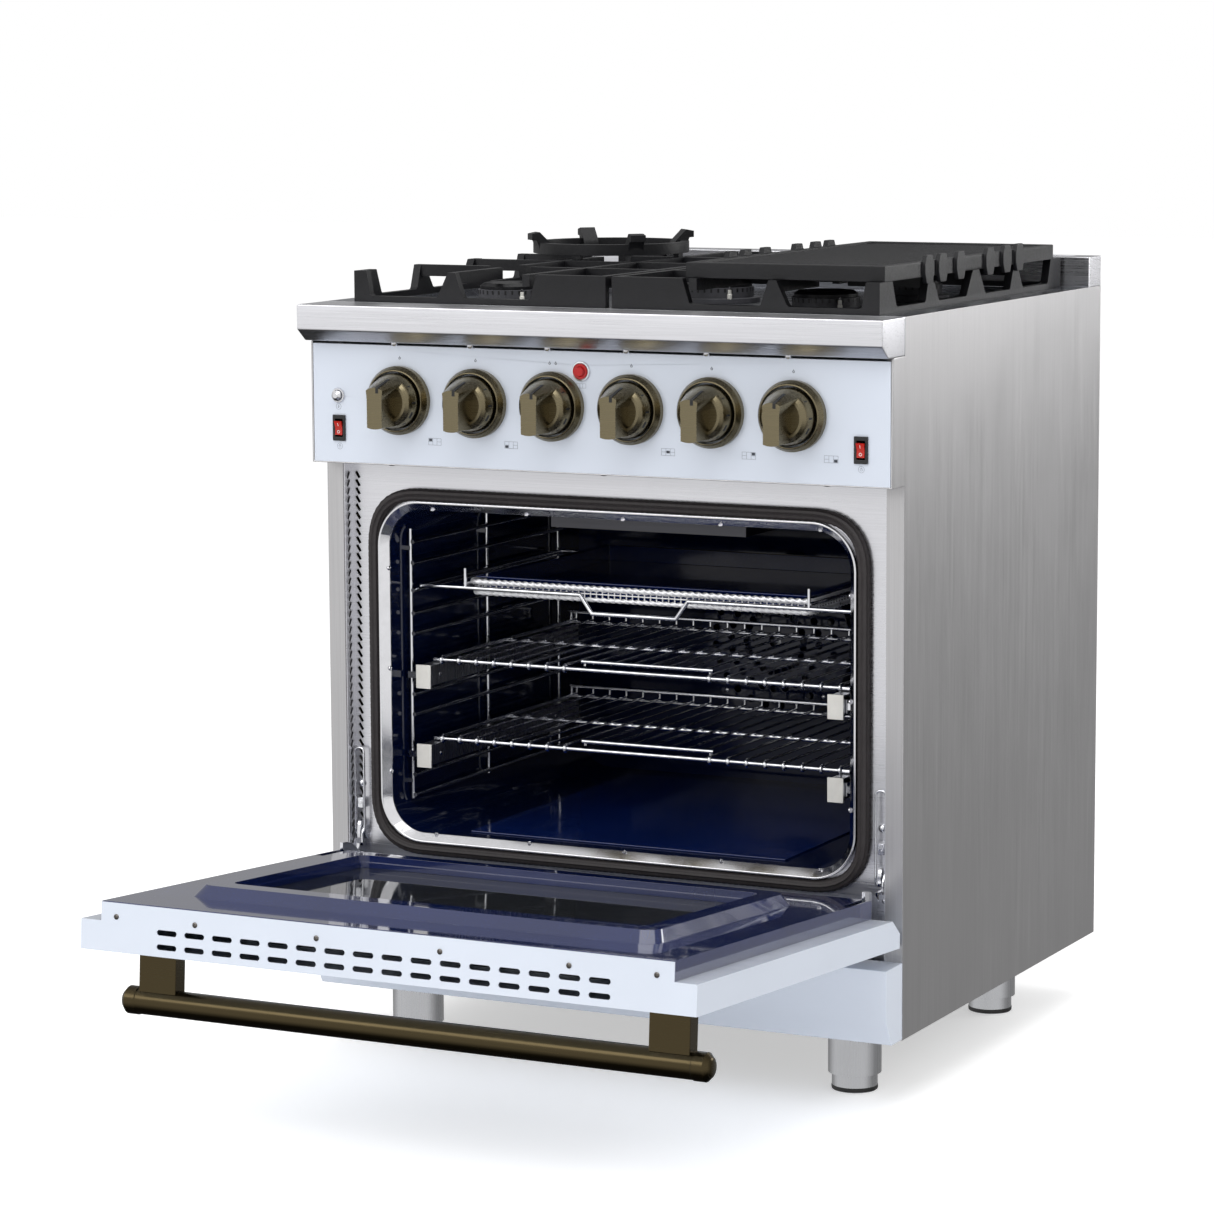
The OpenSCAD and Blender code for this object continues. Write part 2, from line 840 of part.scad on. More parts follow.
// the right-hand grate; the left-hand one is its mirror image
module grate() {
    w = grate_wall;
    z0 = grate_top - 14;
    difference() {
        union() {
            block([grate_inner, grate_front, cooktop_height], [grate_outer, grate_front + w, grate_top]);
            block([grate_inner, grate_back - w, cooktop_height], [grate_outer, grate_back, grate_top]);
            block([grate_outer - w, grate_front, cooktop_height], [grate_outer, grate_back, grate_top]);
        }
        for (y = [grate_front - 1, grate_back - w - 1]) {
            upright(y, y + w + 2) wall_window(104, 195, 9, 10);
            upright(y, y + w + 2) wall_window(228, 321, 14, 5);
        }
        sideways(grate_outer - w - 1, grate_outer + 1) {
            wall_window(59, 147, 12, 10);
            wall_window(187, 276, 20, 19);
            wall_window(334, 418, 20, 12);
            wall_window(459, 547, 19, 10);
        }
    }
    // inner bars reach toward the middle burner
    block([grate_inner, grate_front, z0], [grate_inner + w, grate_mid - 34, grate_top]);
    block([grate_inner, grate_mid + 34, z0], [grate_inner + w, grate_back, grate_top]);
    // cross bar between the front and rear burners
    block([34, grate_mid - w / 2, z0], [grate_outer, grate_mid + w / 2, grate_top]);
    block([104, grate_front, z0], [104 + w, grate_back, grate_top]);
    for (y = [burner_front_y, burner_back_y]) {
        block([burner_x + 30, y - w / 2, z0], [grate_outer, y + w / 2, grate_top]);
        block([grate_inner, y - w / 2, z0], [burner_x - 30, y + w / 2, grate_top]);
    }
    block([burner_x - w / 2, grate_front, z0], [burner_x + w / 2, burner_front_y - 30, grate_top]);
    block([burner_x - w / 2, burner_front_y + 30, z0], [burner_x + w / 2, burner_back_y - 30, grate_top]);
    block([burner_x - w / 2, burner_back_y + 30, z0], [burner_x + w / 2, grate_back, grate_top]);
}

module grate_left() {
    color("black") placed() mirror([1, 0, 0]) grate();
}

module grate_right() {
    color("black") placed() grate();
}

module griddle() {
    z0 = grate_top;
    z1 = z0 + griddle_thickness;
    bed = z1 - 5;
    color("black") placed() {
        difference() {
            block([griddle_left, 20, z0], [griddle_right, 560, z1]);
            block([griddle_left + 8, 28, bed], [griddle_right - 8, 552, z1 + 1]);
            block([griddle_left + 12, 32, z0 - 1], [griddle_right - 12, 548, z0 + 5]);
        }
        for (i = [0:34]) {
            sideways(griddle_left + 14, griddle_right - 14) polygon([
                [50 + i * 14, bed - 1], [52 + i * 14, bed + 3.5],
                [56 + i * 14, bed + 3.5], [58 + i * 14, bed - 1]
            ]);
        }
        for (y = [-145, -103, -47, 47, 103, 145]) {
            sideways(griddle_right - 1.4, griddle_right + 4) translate([290 + y, 0]) polygon([
                [-9, z0 - 8], [9, z0 - 8], [14, z0 + 4], [14, z1 - 3], [9, z1 + 7], [-9, z1 + 7],
                [-14, z1 - 3], [-14, z0 + 4]
            ]);
            sideways(griddle_left - 4, griddle_left + 3) translate([290 + y, 0]) polygon([
                [14, z0 + 4], [14, z1 - 3], [9, z1 + 7], [-9, z1 + 7], [-14, z1 - 3], [-14, z0 + 4]
            ]);
        }
    }
}

module wok_ring() {
    z0 = grate_top;
    r = wok_radius;
    color("black") placed() translate([-burner_x, burner_back_y, 0]) {
        difference() {
            bar_z(0, 0, z0 + 4.5, z0 + 18.5, r);
            bar_z(0, 0, z0 + 3, z0 + 20, r - 10);
        }
        for (a = [0:90:270]) {
            // feet on the grate's fingers
            rotate([0, 0, a]) block([r - 9, -6, z0], [r - 1, 6, z0 + 6]);
            // hooked prongs between them
            rotate([0, 0, a + 45]) translate([0, -10, 0]) rotate([90, 0, 0]) mirror([0, 0, 1])
                linear_extrude(20) polygon([
                    [r - 18, z0 + 5], [r - 1, z0 + 5], [r, z0 + 14], [r + 3, z0 + 21.5],
                    [r + 9, z0 + 22], [r + 9, z0 + 30], [r - 1.5, z0 + 32], [r - 16, z0 + 17.5],
                    [r - 18, z0 + 12]
                ]);
        }
    }
}

// ---- door ----

module hinge_notch() {
    both_sides() block([arm_x - 5, skin_front + 4, pan_bottom - 40], [arm_x + 5, pan_face + 1, hinge_z + 56]);
}

module vent_slot() {
    square([19.4, 6.2], center = true);
    translate([-9.7, 0]) circle(d = 6.2);
    translate([9.7, 0]) circle(d = 6.2);
}

module hinge_cheek() {
    inner = skin_front + door_shell - sheet;
    polygon([
        [skin_front + sheet, hinge_z - 21], [hinge_y, hinge_z - 21], [inner - 2.5, hinge_z - 5],
        [inner, hinge_z - 2], [inner, hinge_z + 20], [skin_front + sheet, hinge_z + 20]
    ]);
}

module door_skin() {
    inner = skin_front + door_shell;
    color("white") on_door() {
        difference() {
            sideways(-half_w, half_w) polygon([
                [skin_front, door_bottom], [-33, door_bottom], [inner, door_bottom + 23],
                [inner, door_top], [skin_front, door_top]
            ]);
            sideways(-half_w + sheet, half_w - sheet) polygon([
                [skin_front + sheet, door_bottom + sheet], [-33.7, door_bottom + sheet],
                [inner - sheet, door_bottom + 23.6], [inner - sheet, door_top - sheet],
                [skin_front + sheet, door_top - sheet]
            ]);
            block([-pan_half + 12, inner - 5, pan_bottom + 12], [pan_half - 12, inner + 1, door_top - 16]);
            upright(skin_front - 1, skin_front + 5) translate([0, 450]) rounded_rect(470, 220, 18);
            for (i = [0:15]) {
                for (y = [-23, -39]) {
                    translate([(i - 7.5) * 35.5, y, door_top - 5]) linear_extrude(6) vent_slot();
                }
            }
            hinge_notch();
        }
        block([-pan_half, inner, door_top - sheet], [pan_half, pan_face - 1, door_top]);
        // cheeks on both sides of each hinge arm, bored for the pin
        both_sides() difference() {
            union() {
                sideways(arm_x - 8, arm_x - 5.1) hinge_cheek();
                sideways(arm_x + 5.1, arm_x + 8) hinge_cheek();
            }
            bar_x(hinge_y, hinge_z, arm_x - 12, arm_x + 12, 4.2);
        }
    }
}

// the pan's raised frame: its outer shape at two heights, drawn in X and Z
module raised(w, z0, z1, r) {
    translate([0, (z0 + z1) / 2]) rounded_rect(w, z1 - z0, r);
}

module door_inner() {
    inner = skin_front + door_shell;
    z1 = door_top - sheet;
    top = pan_face + 13;
    color("navy") on_door() difference() {
        union() {
            block([-pan_half, inner, pan_bottom], [pan_half, pan_face, z1]);
            hull() {
                upright(pan_face - 1, pan_face) raised(582, 274, 641, 22);
                upright(pan_face, top) raised(566, 284, 627, 20);
            }
        }
        difference() {
            union() {
                block([-pan_half + sheet, inner - 1, pan_bottom + sheet],
                    [pan_half - sheet, pan_face - sheet, z1 - sheet]);
                hull() {
                    upright(pan_face - 3, pan_face - 1) raised(577, 276.5, 638.5, 20);
                    upright(pan_face - 1, top - sheet) raised(562, 286, 625, 18);
                }
            }
            // stepped wall round the window
            upright(pan_face - sheet, top) raised(524, 304, 600, 14);
        }
        upright(pan_face + 5, top + 1) raised(520, 306, 598, 12);
        upright(inner, top) raised(512, 310, 594, 10);
        hinge_notch();
    }
}

module door_glass() {
    color("lightblue") on_door() {
        block([-272, pan_face - sheet - 4, 294], [272, pan_face - sheet, 610]);
        upright(skin_front + sheet, skin_front + sheet + 4) translate([0, 450]) rounded_rect(500, 250, 18);
    }
}

module handle_bar() {
    r = handle_diameter / 2;
    l = handle_length / 2;
    color("peru") on_door() translate([0, handle_y, handle_z]) rotate([0, 90, 0])
        rotate_extrude($fn = 96) polygon([
            [0, -l], [r - 5, -l], [r, -l + 5], [r, -l + 18], [r - 0.8, -l + 19],
            [r - 0.8, l - 19], [r, l - 18], [r, l - 5], [r - 5, l], [0, l]
        ]);
}

module handle_posts() {
    color("peru") on_door() both_sides() difference() {
        block([post_x - 24, handle_y + 2, handle_z - 10], [post_x + 24, skin_front, handle_z + 10]);
        bar_x(handle_y, handle_z, post_x - 30, post_x + 30, handle_diameter / 2 - 0.8);
    }
}

// fixed arms with the pins the door turns on
module hinge_arms() {
    color("silver") placed() both_sides() {
        sideways(arm_x - 2, arm_x + 2) translate([hinge_y, hinge_z]) {
            circle(r = 9);
            intersection() {
                circle(r = 52);
                square([60, 60]);
            }
            translate([40, 14]) square([frame_y - hinge_y - 40, 30]);
        }
        bar_x(hinge_y, hinge_z, arm_x - 9, arm_x + 9, 4);
    }
}

side_panel_left();
side_panel_right();
back_panel();
base_pan();
front_frame();
bullnose();
console_box();
control_panel();
cooktop_tray();
vent_riser();
kick_panel();
oven_liner();
insulation_wrap();
door_gasket();
opening_trim();
oven_floor_plate();
fan_cover();
fan_motor();
convection_fan();
oven_burners();
rack_guides();
lower_rack();
lower_runners();
upper_rack();
upper_runners();
basket_frame();
fry_basket();
fry_tray();
gas_manifold();
gas_valves();
power_inlet();
burner_bases();
burner_caps();
knob_1();
knob_2();
knob_3();
knob_4();
knob_5();
knob_6();
knob_bezels();
indicator_lamp();
switch_frames();
rocker_left();
rocker_right();
push_button();
grate_left();
grate_right();
griddle();
wok_ring();
door_skin();
door_inner();
door_glass();
handle_bar();
handle_posts();
hinge_arms();
leg_collars();
foot_front_left();
foot_front_right();
foot_back_left();
foot_back_right();
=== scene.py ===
"""Looks of the freestanding gas range: materials, small fittings, floor, light and camera.

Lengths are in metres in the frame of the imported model: +X right, +Y back, +Z up, floor at Z = 0.
"""
import json
import math

import bmesh
import bpy
from mathutils import Matrix, Quaternion, Vector


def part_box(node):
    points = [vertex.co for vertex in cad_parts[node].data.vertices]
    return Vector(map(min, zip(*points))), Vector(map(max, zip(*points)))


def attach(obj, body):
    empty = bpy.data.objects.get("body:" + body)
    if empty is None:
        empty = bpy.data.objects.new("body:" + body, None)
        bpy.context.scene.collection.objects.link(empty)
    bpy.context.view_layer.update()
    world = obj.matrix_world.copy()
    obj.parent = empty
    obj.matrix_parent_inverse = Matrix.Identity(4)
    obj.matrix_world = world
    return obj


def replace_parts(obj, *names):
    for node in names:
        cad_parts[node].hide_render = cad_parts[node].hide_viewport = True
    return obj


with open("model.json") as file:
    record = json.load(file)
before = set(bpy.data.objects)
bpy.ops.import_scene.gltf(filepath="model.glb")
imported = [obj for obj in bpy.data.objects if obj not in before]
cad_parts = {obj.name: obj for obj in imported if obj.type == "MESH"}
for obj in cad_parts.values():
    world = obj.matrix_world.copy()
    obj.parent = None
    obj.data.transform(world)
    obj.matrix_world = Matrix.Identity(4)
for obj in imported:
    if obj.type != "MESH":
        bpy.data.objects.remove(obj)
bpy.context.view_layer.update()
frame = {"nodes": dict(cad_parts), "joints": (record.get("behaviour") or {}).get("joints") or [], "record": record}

MM = 0.001
NODES = frame["nodes"]


# ---- colours and node helpers ----


def srgb(red, green, blue):
    """Linear colour of an 8-bit screen colour."""

    def linear(value):
        value /= 255
        return value / 12.92 if value <= 0.04045 else ((value + 0.055) / 1.055) ** 2.4

    return (linear(red), linear(green), linear(blue), 1.0)


def shaded(colour, factor):
    return tuple(min(1.0, channel * factor) for channel in colour[:3]) + (1.0,)


class Look:
    """One procedural material, built node by node."""

    def __init__(self, name):
        self.material = bpy.data.materials.new(name)
        self.material.use_nodes = True
        self.tree = self.material.node_tree
        self.shader = self.tree.nodes["Principled BSDF"]
        self.normal = None

    def add(self, kind, inputs=None, **settings):
        made = self.tree.nodes.new(kind)
        for key, value in settings.items():
            setattr(made, key, value)
        for key, value in (inputs or {}).items():
            if isinstance(value, bpy.types.NodeSocket):
                self.tree.links.new(value, made.inputs[key])
            else:
                made.inputs[key].default_value = value
        return made

    def set(self, **values):
        """Sets shader sockets; an underscore in a name stands for a space."""
        for key, value in values.items():
            socket = self.shader.inputs[key.replace("_", " ")]
            if isinstance(value, bpy.types.NodeSocket):
                self.tree.links.new(value, socket)
            else:
                socket.default_value = value

    def place(self, scale=(1, 1, 1), turn=(0, 0, 0)):
        coordinates = self.add("ShaderNodeTexCoord")
        mapping = self.add("ShaderNodeMapping", {"Vector": coordinates.outputs["Object"]})
        mapping.inputs["Scale"].default_value = scale
        mapping.inputs["Rotation"].default_value = turn
        return mapping.outputs["Vector"]

    def noise(self, where, scale, detail=3.0, rough=0.5):
        inputs = {"Vector": where, "Scale": scale, "Detail": detail, "Roughness": rough}
        return self.add("ShaderNodeTexNoise", inputs).outputs["Fac"]

    def spread(self, value, low, high, start=0.3, end=0.7):
        """A number that runs from low to high as value runs from start to end."""
        inputs = {"Value": value, "From Min": start, "From Max": end, "To Min": low, "To Max": high}
        return self.add("ShaderNodeMapRange", inputs).outputs["Result"]

    def blend(self, value, low, high, start=0.3, end=0.7):
        """A colour that runs from low to high as value runs from start to end."""
        ramp = self.add("ShaderNodeValToRGB", {"Fac": value})
        ramp.color_ramp.elements[0].position = start
        ramp.color_ramp.elements[0].color = low
        ramp.color_ramp.elements[1].position = end
        ramp.color_ramp.elements[1].color = high
        return ramp.outputs["Color"]

    def bump(self, height, strength, distance):
        inputs = {"Height": height, "Strength": strength, "Distance": distance}
        if self.normal is not None:
            inputs["Normal"] = self.normal
        self.normal = self.add("ShaderNodeBump", inputs).outputs["Normal"]
        self.set(Normal=self.normal)


def brushed_metal(name, colour, along, low=0.26, high=0.42, depth=0.00004, streak=1.0):
    """Sheet metal brushed along one axis, 0 for X, 1 for Y and 2 for Z."""
    look = Look(name)
    stretch = [900, 900, 900]
    stretch[along] = 6
    grain = look.noise(look.place(tuple(stretch)), 1.0, 4, 0.6)
    patches = look.noise(look.place(), 3.0, 2)
    smudges = look.noise(look.place(), 11.0, 5, 0.65)
    look.set(Metallic=1.0)
    look.set(Base_Color=look.blend(grain, shaded(colour, 1 - 0.1 * streak), shaded(colour, 1 + 0.06 * streak)))
    mean = look.add("ShaderNodeMath", {0: look.spread(grain, low, high), 1: look.spread(patches, -0.03, 0.03)})
    total = look.add("ShaderNodeMath", {0: mean.outputs[0], 1: look.spread(smudges, -0.02, 0.03)})
    look.set(Roughness=total.outputs[0])
    look.bump(grain, 0.5 * streak, depth)
    return look.material


def gloss_paint(name, colour, roughness=0.22, wave=0.00015, coat=0.6):
    """Sprayed and baked paint or enamel with a faint orange peel."""
    look = Look(name)
    tone = look.noise(look.place(), 5.0, 3)
    peel = look.noise(look.place(), 420.0, 2)
    look.set(Base_Color=look.blend(tone, shaded(colour, 0.97), shaded(colour, 1.02)))
    look.set(Roughness=look.spread(look.noise(look.place(), 30.0, 4), roughness - 0.03, roughness + 0.05))
    look.set(Coat_Weight=coat, Coat_Roughness=0.06)
    look.bump(peel, 0.08, wave)
    return look.material


def enamel(name, colour, speck, coat=1.0):
    """Fired glass enamel: very glossy, slightly uneven, with fine specks."""
    look = Look(name)
    tone = look.noise(look.place(), 7.0, 3)
    fleck = look.noise(look.place(), 900.0, 2, 0.7)
    base = look.blend(tone, shaded(colour, 0.8), shaded(colour, 1.15))
    specked = look.add("ShaderNodeMix", {0: look.spread(fleck, 0.0, 1.0, 0.66, 0.72)}, data_type="RGBA")
    look.tree.links.new(base, specked.inputs[6])
    specked.inputs[7].default_value = speck
    look.set(Base_Color=specked.outputs[2])
    look.set(Roughness=look.spread(look.noise(look.place(), 24.0, 4), 0.07, 0.15))
    look.set(Coat_Weight=coat, Coat_Roughness=0.03, Specular_IOR_Level=0.2 + 0.4 * coat)
    look.bump(look.noise(look.place(), 55.0, 2), 0.12, 0.0004)
    look.bump(look.noise(look.place(), 600.0, 2), 0.06, 0.0001)
    return look.material


def cast_iron(name, colour, roughness=0.5):
    """Sand-cast iron under a thin matt enamel: fine pits and a coarse skin."""
    look = Look(name)
    sand = look.noise(look.place(), 900.0, 4, 0.7)
    skin = look.noise(look.place(), 160.0, 5, 0.6)
    wear = look.noise(look.place(), 12.0, 5, 0.6)
    look.set(Base_Color=look.blend(wear, shaded(colour, 0.7), shaded(colour, 1.4)))
    look.set(Roughness=look.spread(sand, roughness - 0.12, roughness + 0.14))
    look.set(Specular_IOR_Level=0.3)
    look.bump(skin, 0.5, 0.0006)
    look.bump(sand, 0.5, 0.0003)
    return look.material


def plain_metal(name, colour, roughness=0.12, grain=0.3, metallic=1.0):
    """Chrome, polished steel or machined metal with faint marks of handling."""
    look = Look(name)
    marks = look.noise(look.place(), 60.0, 5, 0.7)
    fine = look.noise(look.place(), 700.0, 3, 0.6)
    look.set(Metallic=metallic)
    look.set(Base_Color=look.blend(marks, shaded(colour, 0.93), shaded(colour, 1.04)))
    look.set(Roughness=look.spread(marks, roughness * 0.75, roughness * 1.4))
    look.bump(fine, grain, 0.00005)
    return look.material


def plastic(name, colour, roughness=0.4, through=0.0):
    """Moulded plastic, print or glazed ceramic; through lets that share of the light in."""
    look = Look(name)
    grain = look.noise(look.place(), 1500.0, 2)
    tone = look.noise(look.place(), 20.0, 3)
    look.set(Base_Color=look.blend(tone, shaded(colour, 0.9), shaded(colour, 1.08)))
    look.set(Roughness=look.spread(grain, roughness - 0.06, roughness + 0.06))
    if through:
        look.set(Transmission_Weight=through, IOR=1.49)
    look.bump(grain, 0.15, 0.0001)
    return look.material


def glass(name, tint):
    """Heat-resistant glass with faint smears."""
    look = Look(name)
    smear = look.noise(look.place(), 9.0, 6, 0.7)
    look.set(Base_Color=tint, Transmission_Weight=0.9, IOR=1.5, Specular_IOR_Level=0.5)
    look.set(Roughness=look.spread(smear, 0.01, 0.06))
    return look.material


def wool(name, colour, roughness=0.95, depth=0.002):
    """Loose or braided fibre, matt and uneven."""
    look = Look(name)
    fibre = look.noise(look.place((260, 260, 60)), 1.0, 6, 0.8)
    look.set(Base_Color=look.blend(fibre, shaded(colour, 0.6), shaded(colour, 1.1)), Roughness=roughness)
    look.bump(fibre, 0.9, depth)
    return look.material


LOOKS = {
    "brushed_side": brushed_metal("brushed_side", srgb(196, 195, 196), 2, 0.34, 0.48),
    "brushed_front": brushed_metal("brushed_front", srgb(222, 222, 226), 0, 0.24, 0.38),
    "polished_trim": plain_metal("polished_trim", srgb(225, 225, 228), 0.12),
    "white_enamel": gloss_paint("white_enamel", srgb(206, 213, 225)),
    "blue_enamel": enamel("blue_enamel", srgb(6, 18, 52), srgb(22, 38, 78), 0.15),
    "galvanised": brushed_metal("galvanised", srgb(178, 180, 182), 0, 0.3, 0.5),
    "tray_steel": brushed_metal("tray_steel", srgb(150, 152, 158), 0, 0.2, 0.34),
    "cast_iron": cast_iron("cast_iron", srgb(17, 17, 20), 0.4),
    "antique_brass": brushed_metal("antique_brass", srgb(122, 113, 90), 0, 0.2, 0.34, 0.00003, 0.35),
    "valve_brass": plain_metal("valve_brass", srgb(205, 170, 95), 0.2),
    "rope": wool("rope", srgb(52, 47, 48), 0.6, 0.0006),
    "wool": wool("wool", srgb(205, 190, 140)),
    "chrome_wire": plain_metal("chrome_wire", srgb(225, 226, 230), 0.1),
    "aluminium_cast": cast_iron("aluminium_cast", srgb(78, 78, 82), 0.42),
    "steel_tube": brushed_metal("steel_tube", srgb(196, 197, 200), 2, 0.2, 0.36),
    "motor_grey": cast_iron("motor_grey", srgb(70, 70, 74), 0.45),
    "black_plastic": plastic("black_plastic", srgb(22, 22, 23)),
    "red_plastic": plastic("red_plastic", srgb(205, 40, 28), 0.2, 0.25),
    "lens_red": plastic("lens_red", srgb(225, 25, 25), 0.1, 0.4),
    "door_glass": glass("door_glass", srgb(120, 124, 130)),
    # painted light: a near-white, half-diffuse copy of the wire steel, so the basket's mesh shows lit inside the
    # dark oven
    "lit_mesh_wire": plain_metal("lit_mesh_wire", srgb(240, 240, 242), 0.3, 0.3, 0.45),
    # painted light: a lighter copy of the oven's blue enamel for the door pan, which faces up out of the oven's
    # shade; its specks are lighter too
    "lit_pan_enamel": enamel("lit_pan_enamel", srgb(13, 31, 86), srgb(62, 84, 140)),
    # painted light: a lighter copy of the oven's blue enamel for the floor plate and the fry tray, which face up
    # out of the oven's shade
    "lit_floor_enamel": enamel("lit_floor_enamel", srgb(10, 32, 90), srgb(44, 66, 124), 0.3),
    # painted shade: a darker copy of the burner plate's sheet metal, for the shade at the top of the oven
    "shaded_burner_steel": brushed_metal("shaded_burner_steel", srgb(84, 84, 88), 0, 0.3, 0.5),
    # painted shade: a darker copy of the knobs' antique brass for the handle, its posts and end caps, standing in
    # for the dark reflections along the bar
    "shaded_handle_brass": brushed_metal("shaded_handle_brass", srgb(74, 65, 46), 0, 0.16, 0.28, 0.00002, 0.4),
    "satin_cap": plain_metal("satin_cap", srgb(232, 230, 224), 0.4, 0.3, 0.3),
    "lamp_glass": glass("lamp_glass", srgb(225, 228, 226)),
    "print_grey": plastic("print_grey", srgb(120, 126, 138), 0.5),
    "print_dark": plastic("print_dark", srgb(52, 56, 66), 0.5),
    # black print on the knobs, and painted shade in the burner ports
    "black_print_and_port_shade": plastic("black_print_and_port_shade", srgb(14, 14, 15), 0.45),
    "print_white": plastic("print_white", srgb(235, 225, 222), 0.4),
    "dark_screw": plain_metal("dark_screw", srgb(120, 116, 112), 0.3),
    "ceramic": plastic("ceramic", srgb(232, 230, 222), 0.3),
    "label": plastic("label", srgb(206, 207, 208), 0.35),
}
# the record's slot behind each look that isn't a slot itself
# nodes that show a lighter or darker copy of their slot's finish, which is painted light and painted shade
SHADES = {
    "door_inner": "lit_pan_enamel", "oven_floor_plate": "lit_floor_enamel", "fry_tray": "lit_floor_enamel",
    "handle_bar": "shaded_handle_brass", "handle_posts": "shaded_handle_brass", "oven_burners": "shaded_burner_steel",
}


def paint_nodes():
    for part in frame["record"]["subparts"]:
        piece = NODES[part["node"]]
        piece.data.materials.clear()
        piece.data.materials.append(LOOKS[SHADES.get(part["node"], part["material_slot"])])


paint_nodes()


# ---- detail pieces: mesh helpers ----

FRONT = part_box("side_panel_right")[0].y
JOINTS = {joint["name"]: joint for joint in frame["joints"]}
HINGE = Vector(JOINTS["door_hinge"]["pos_m"])
OPEN_ANGLE = math.radians(JOINTS["door_hinge"]["range_deg"][1])
ON_DOOR = Matrix.Translation(HINGE) @ Matrix.Rotation(OPEN_ANGLE, 4, "X") @ Matrix.Translation(-HINGE)


def in_mm(pairs):
    """The same pairs of lengths, given in millimetres, in metres."""
    return [(a * MM, b * MM) for a, b in pairs]


def circle(radius, sides):
    steps = [2 * math.pi * k / sides for k in range(sides)]
    return [(radius * math.cos(a), radius * math.sin(a)) for a in steps]


def bent(points, bend, steps=4, closed=False):
    """The same line with its corners rounded, bend metres before and after each one."""
    points = [Vector(p) for p in points]
    line = [] if closed else [points[0]]
    for k in range(len(points)):
        if not closed and k in (0, len(points) - 1):
            continue
        corner = points[k]
        before, after = points[k - 1], points[(k + 1) % len(points)]
        reach = min(bend, (corner - before).length * 0.49, (after - corner).length * 0.49)
        start = corner + (before - corner).normalized() * reach
        end = corner + (after - corner).normalized() * reach
        for step in range(steps + 1):
            t = step / steps
            line.append(start * (1 - t) ** 2 + corner * 2 * t * (1 - t) + end * t * t)
    if not closed:
        line.append(points[-1])
    return line


def walked(points, step, closed=False):
    """The same line in even steps."""
    ends = points + [points[0]] if closed else points
    line = []
    for a, b in zip(ends, ends[1:]):
        count = max(1, round((b - a).length / step))
        line += [a.lerp(b, k / count) for k in range(count)]
    return line if closed else line + [ends[-1]]


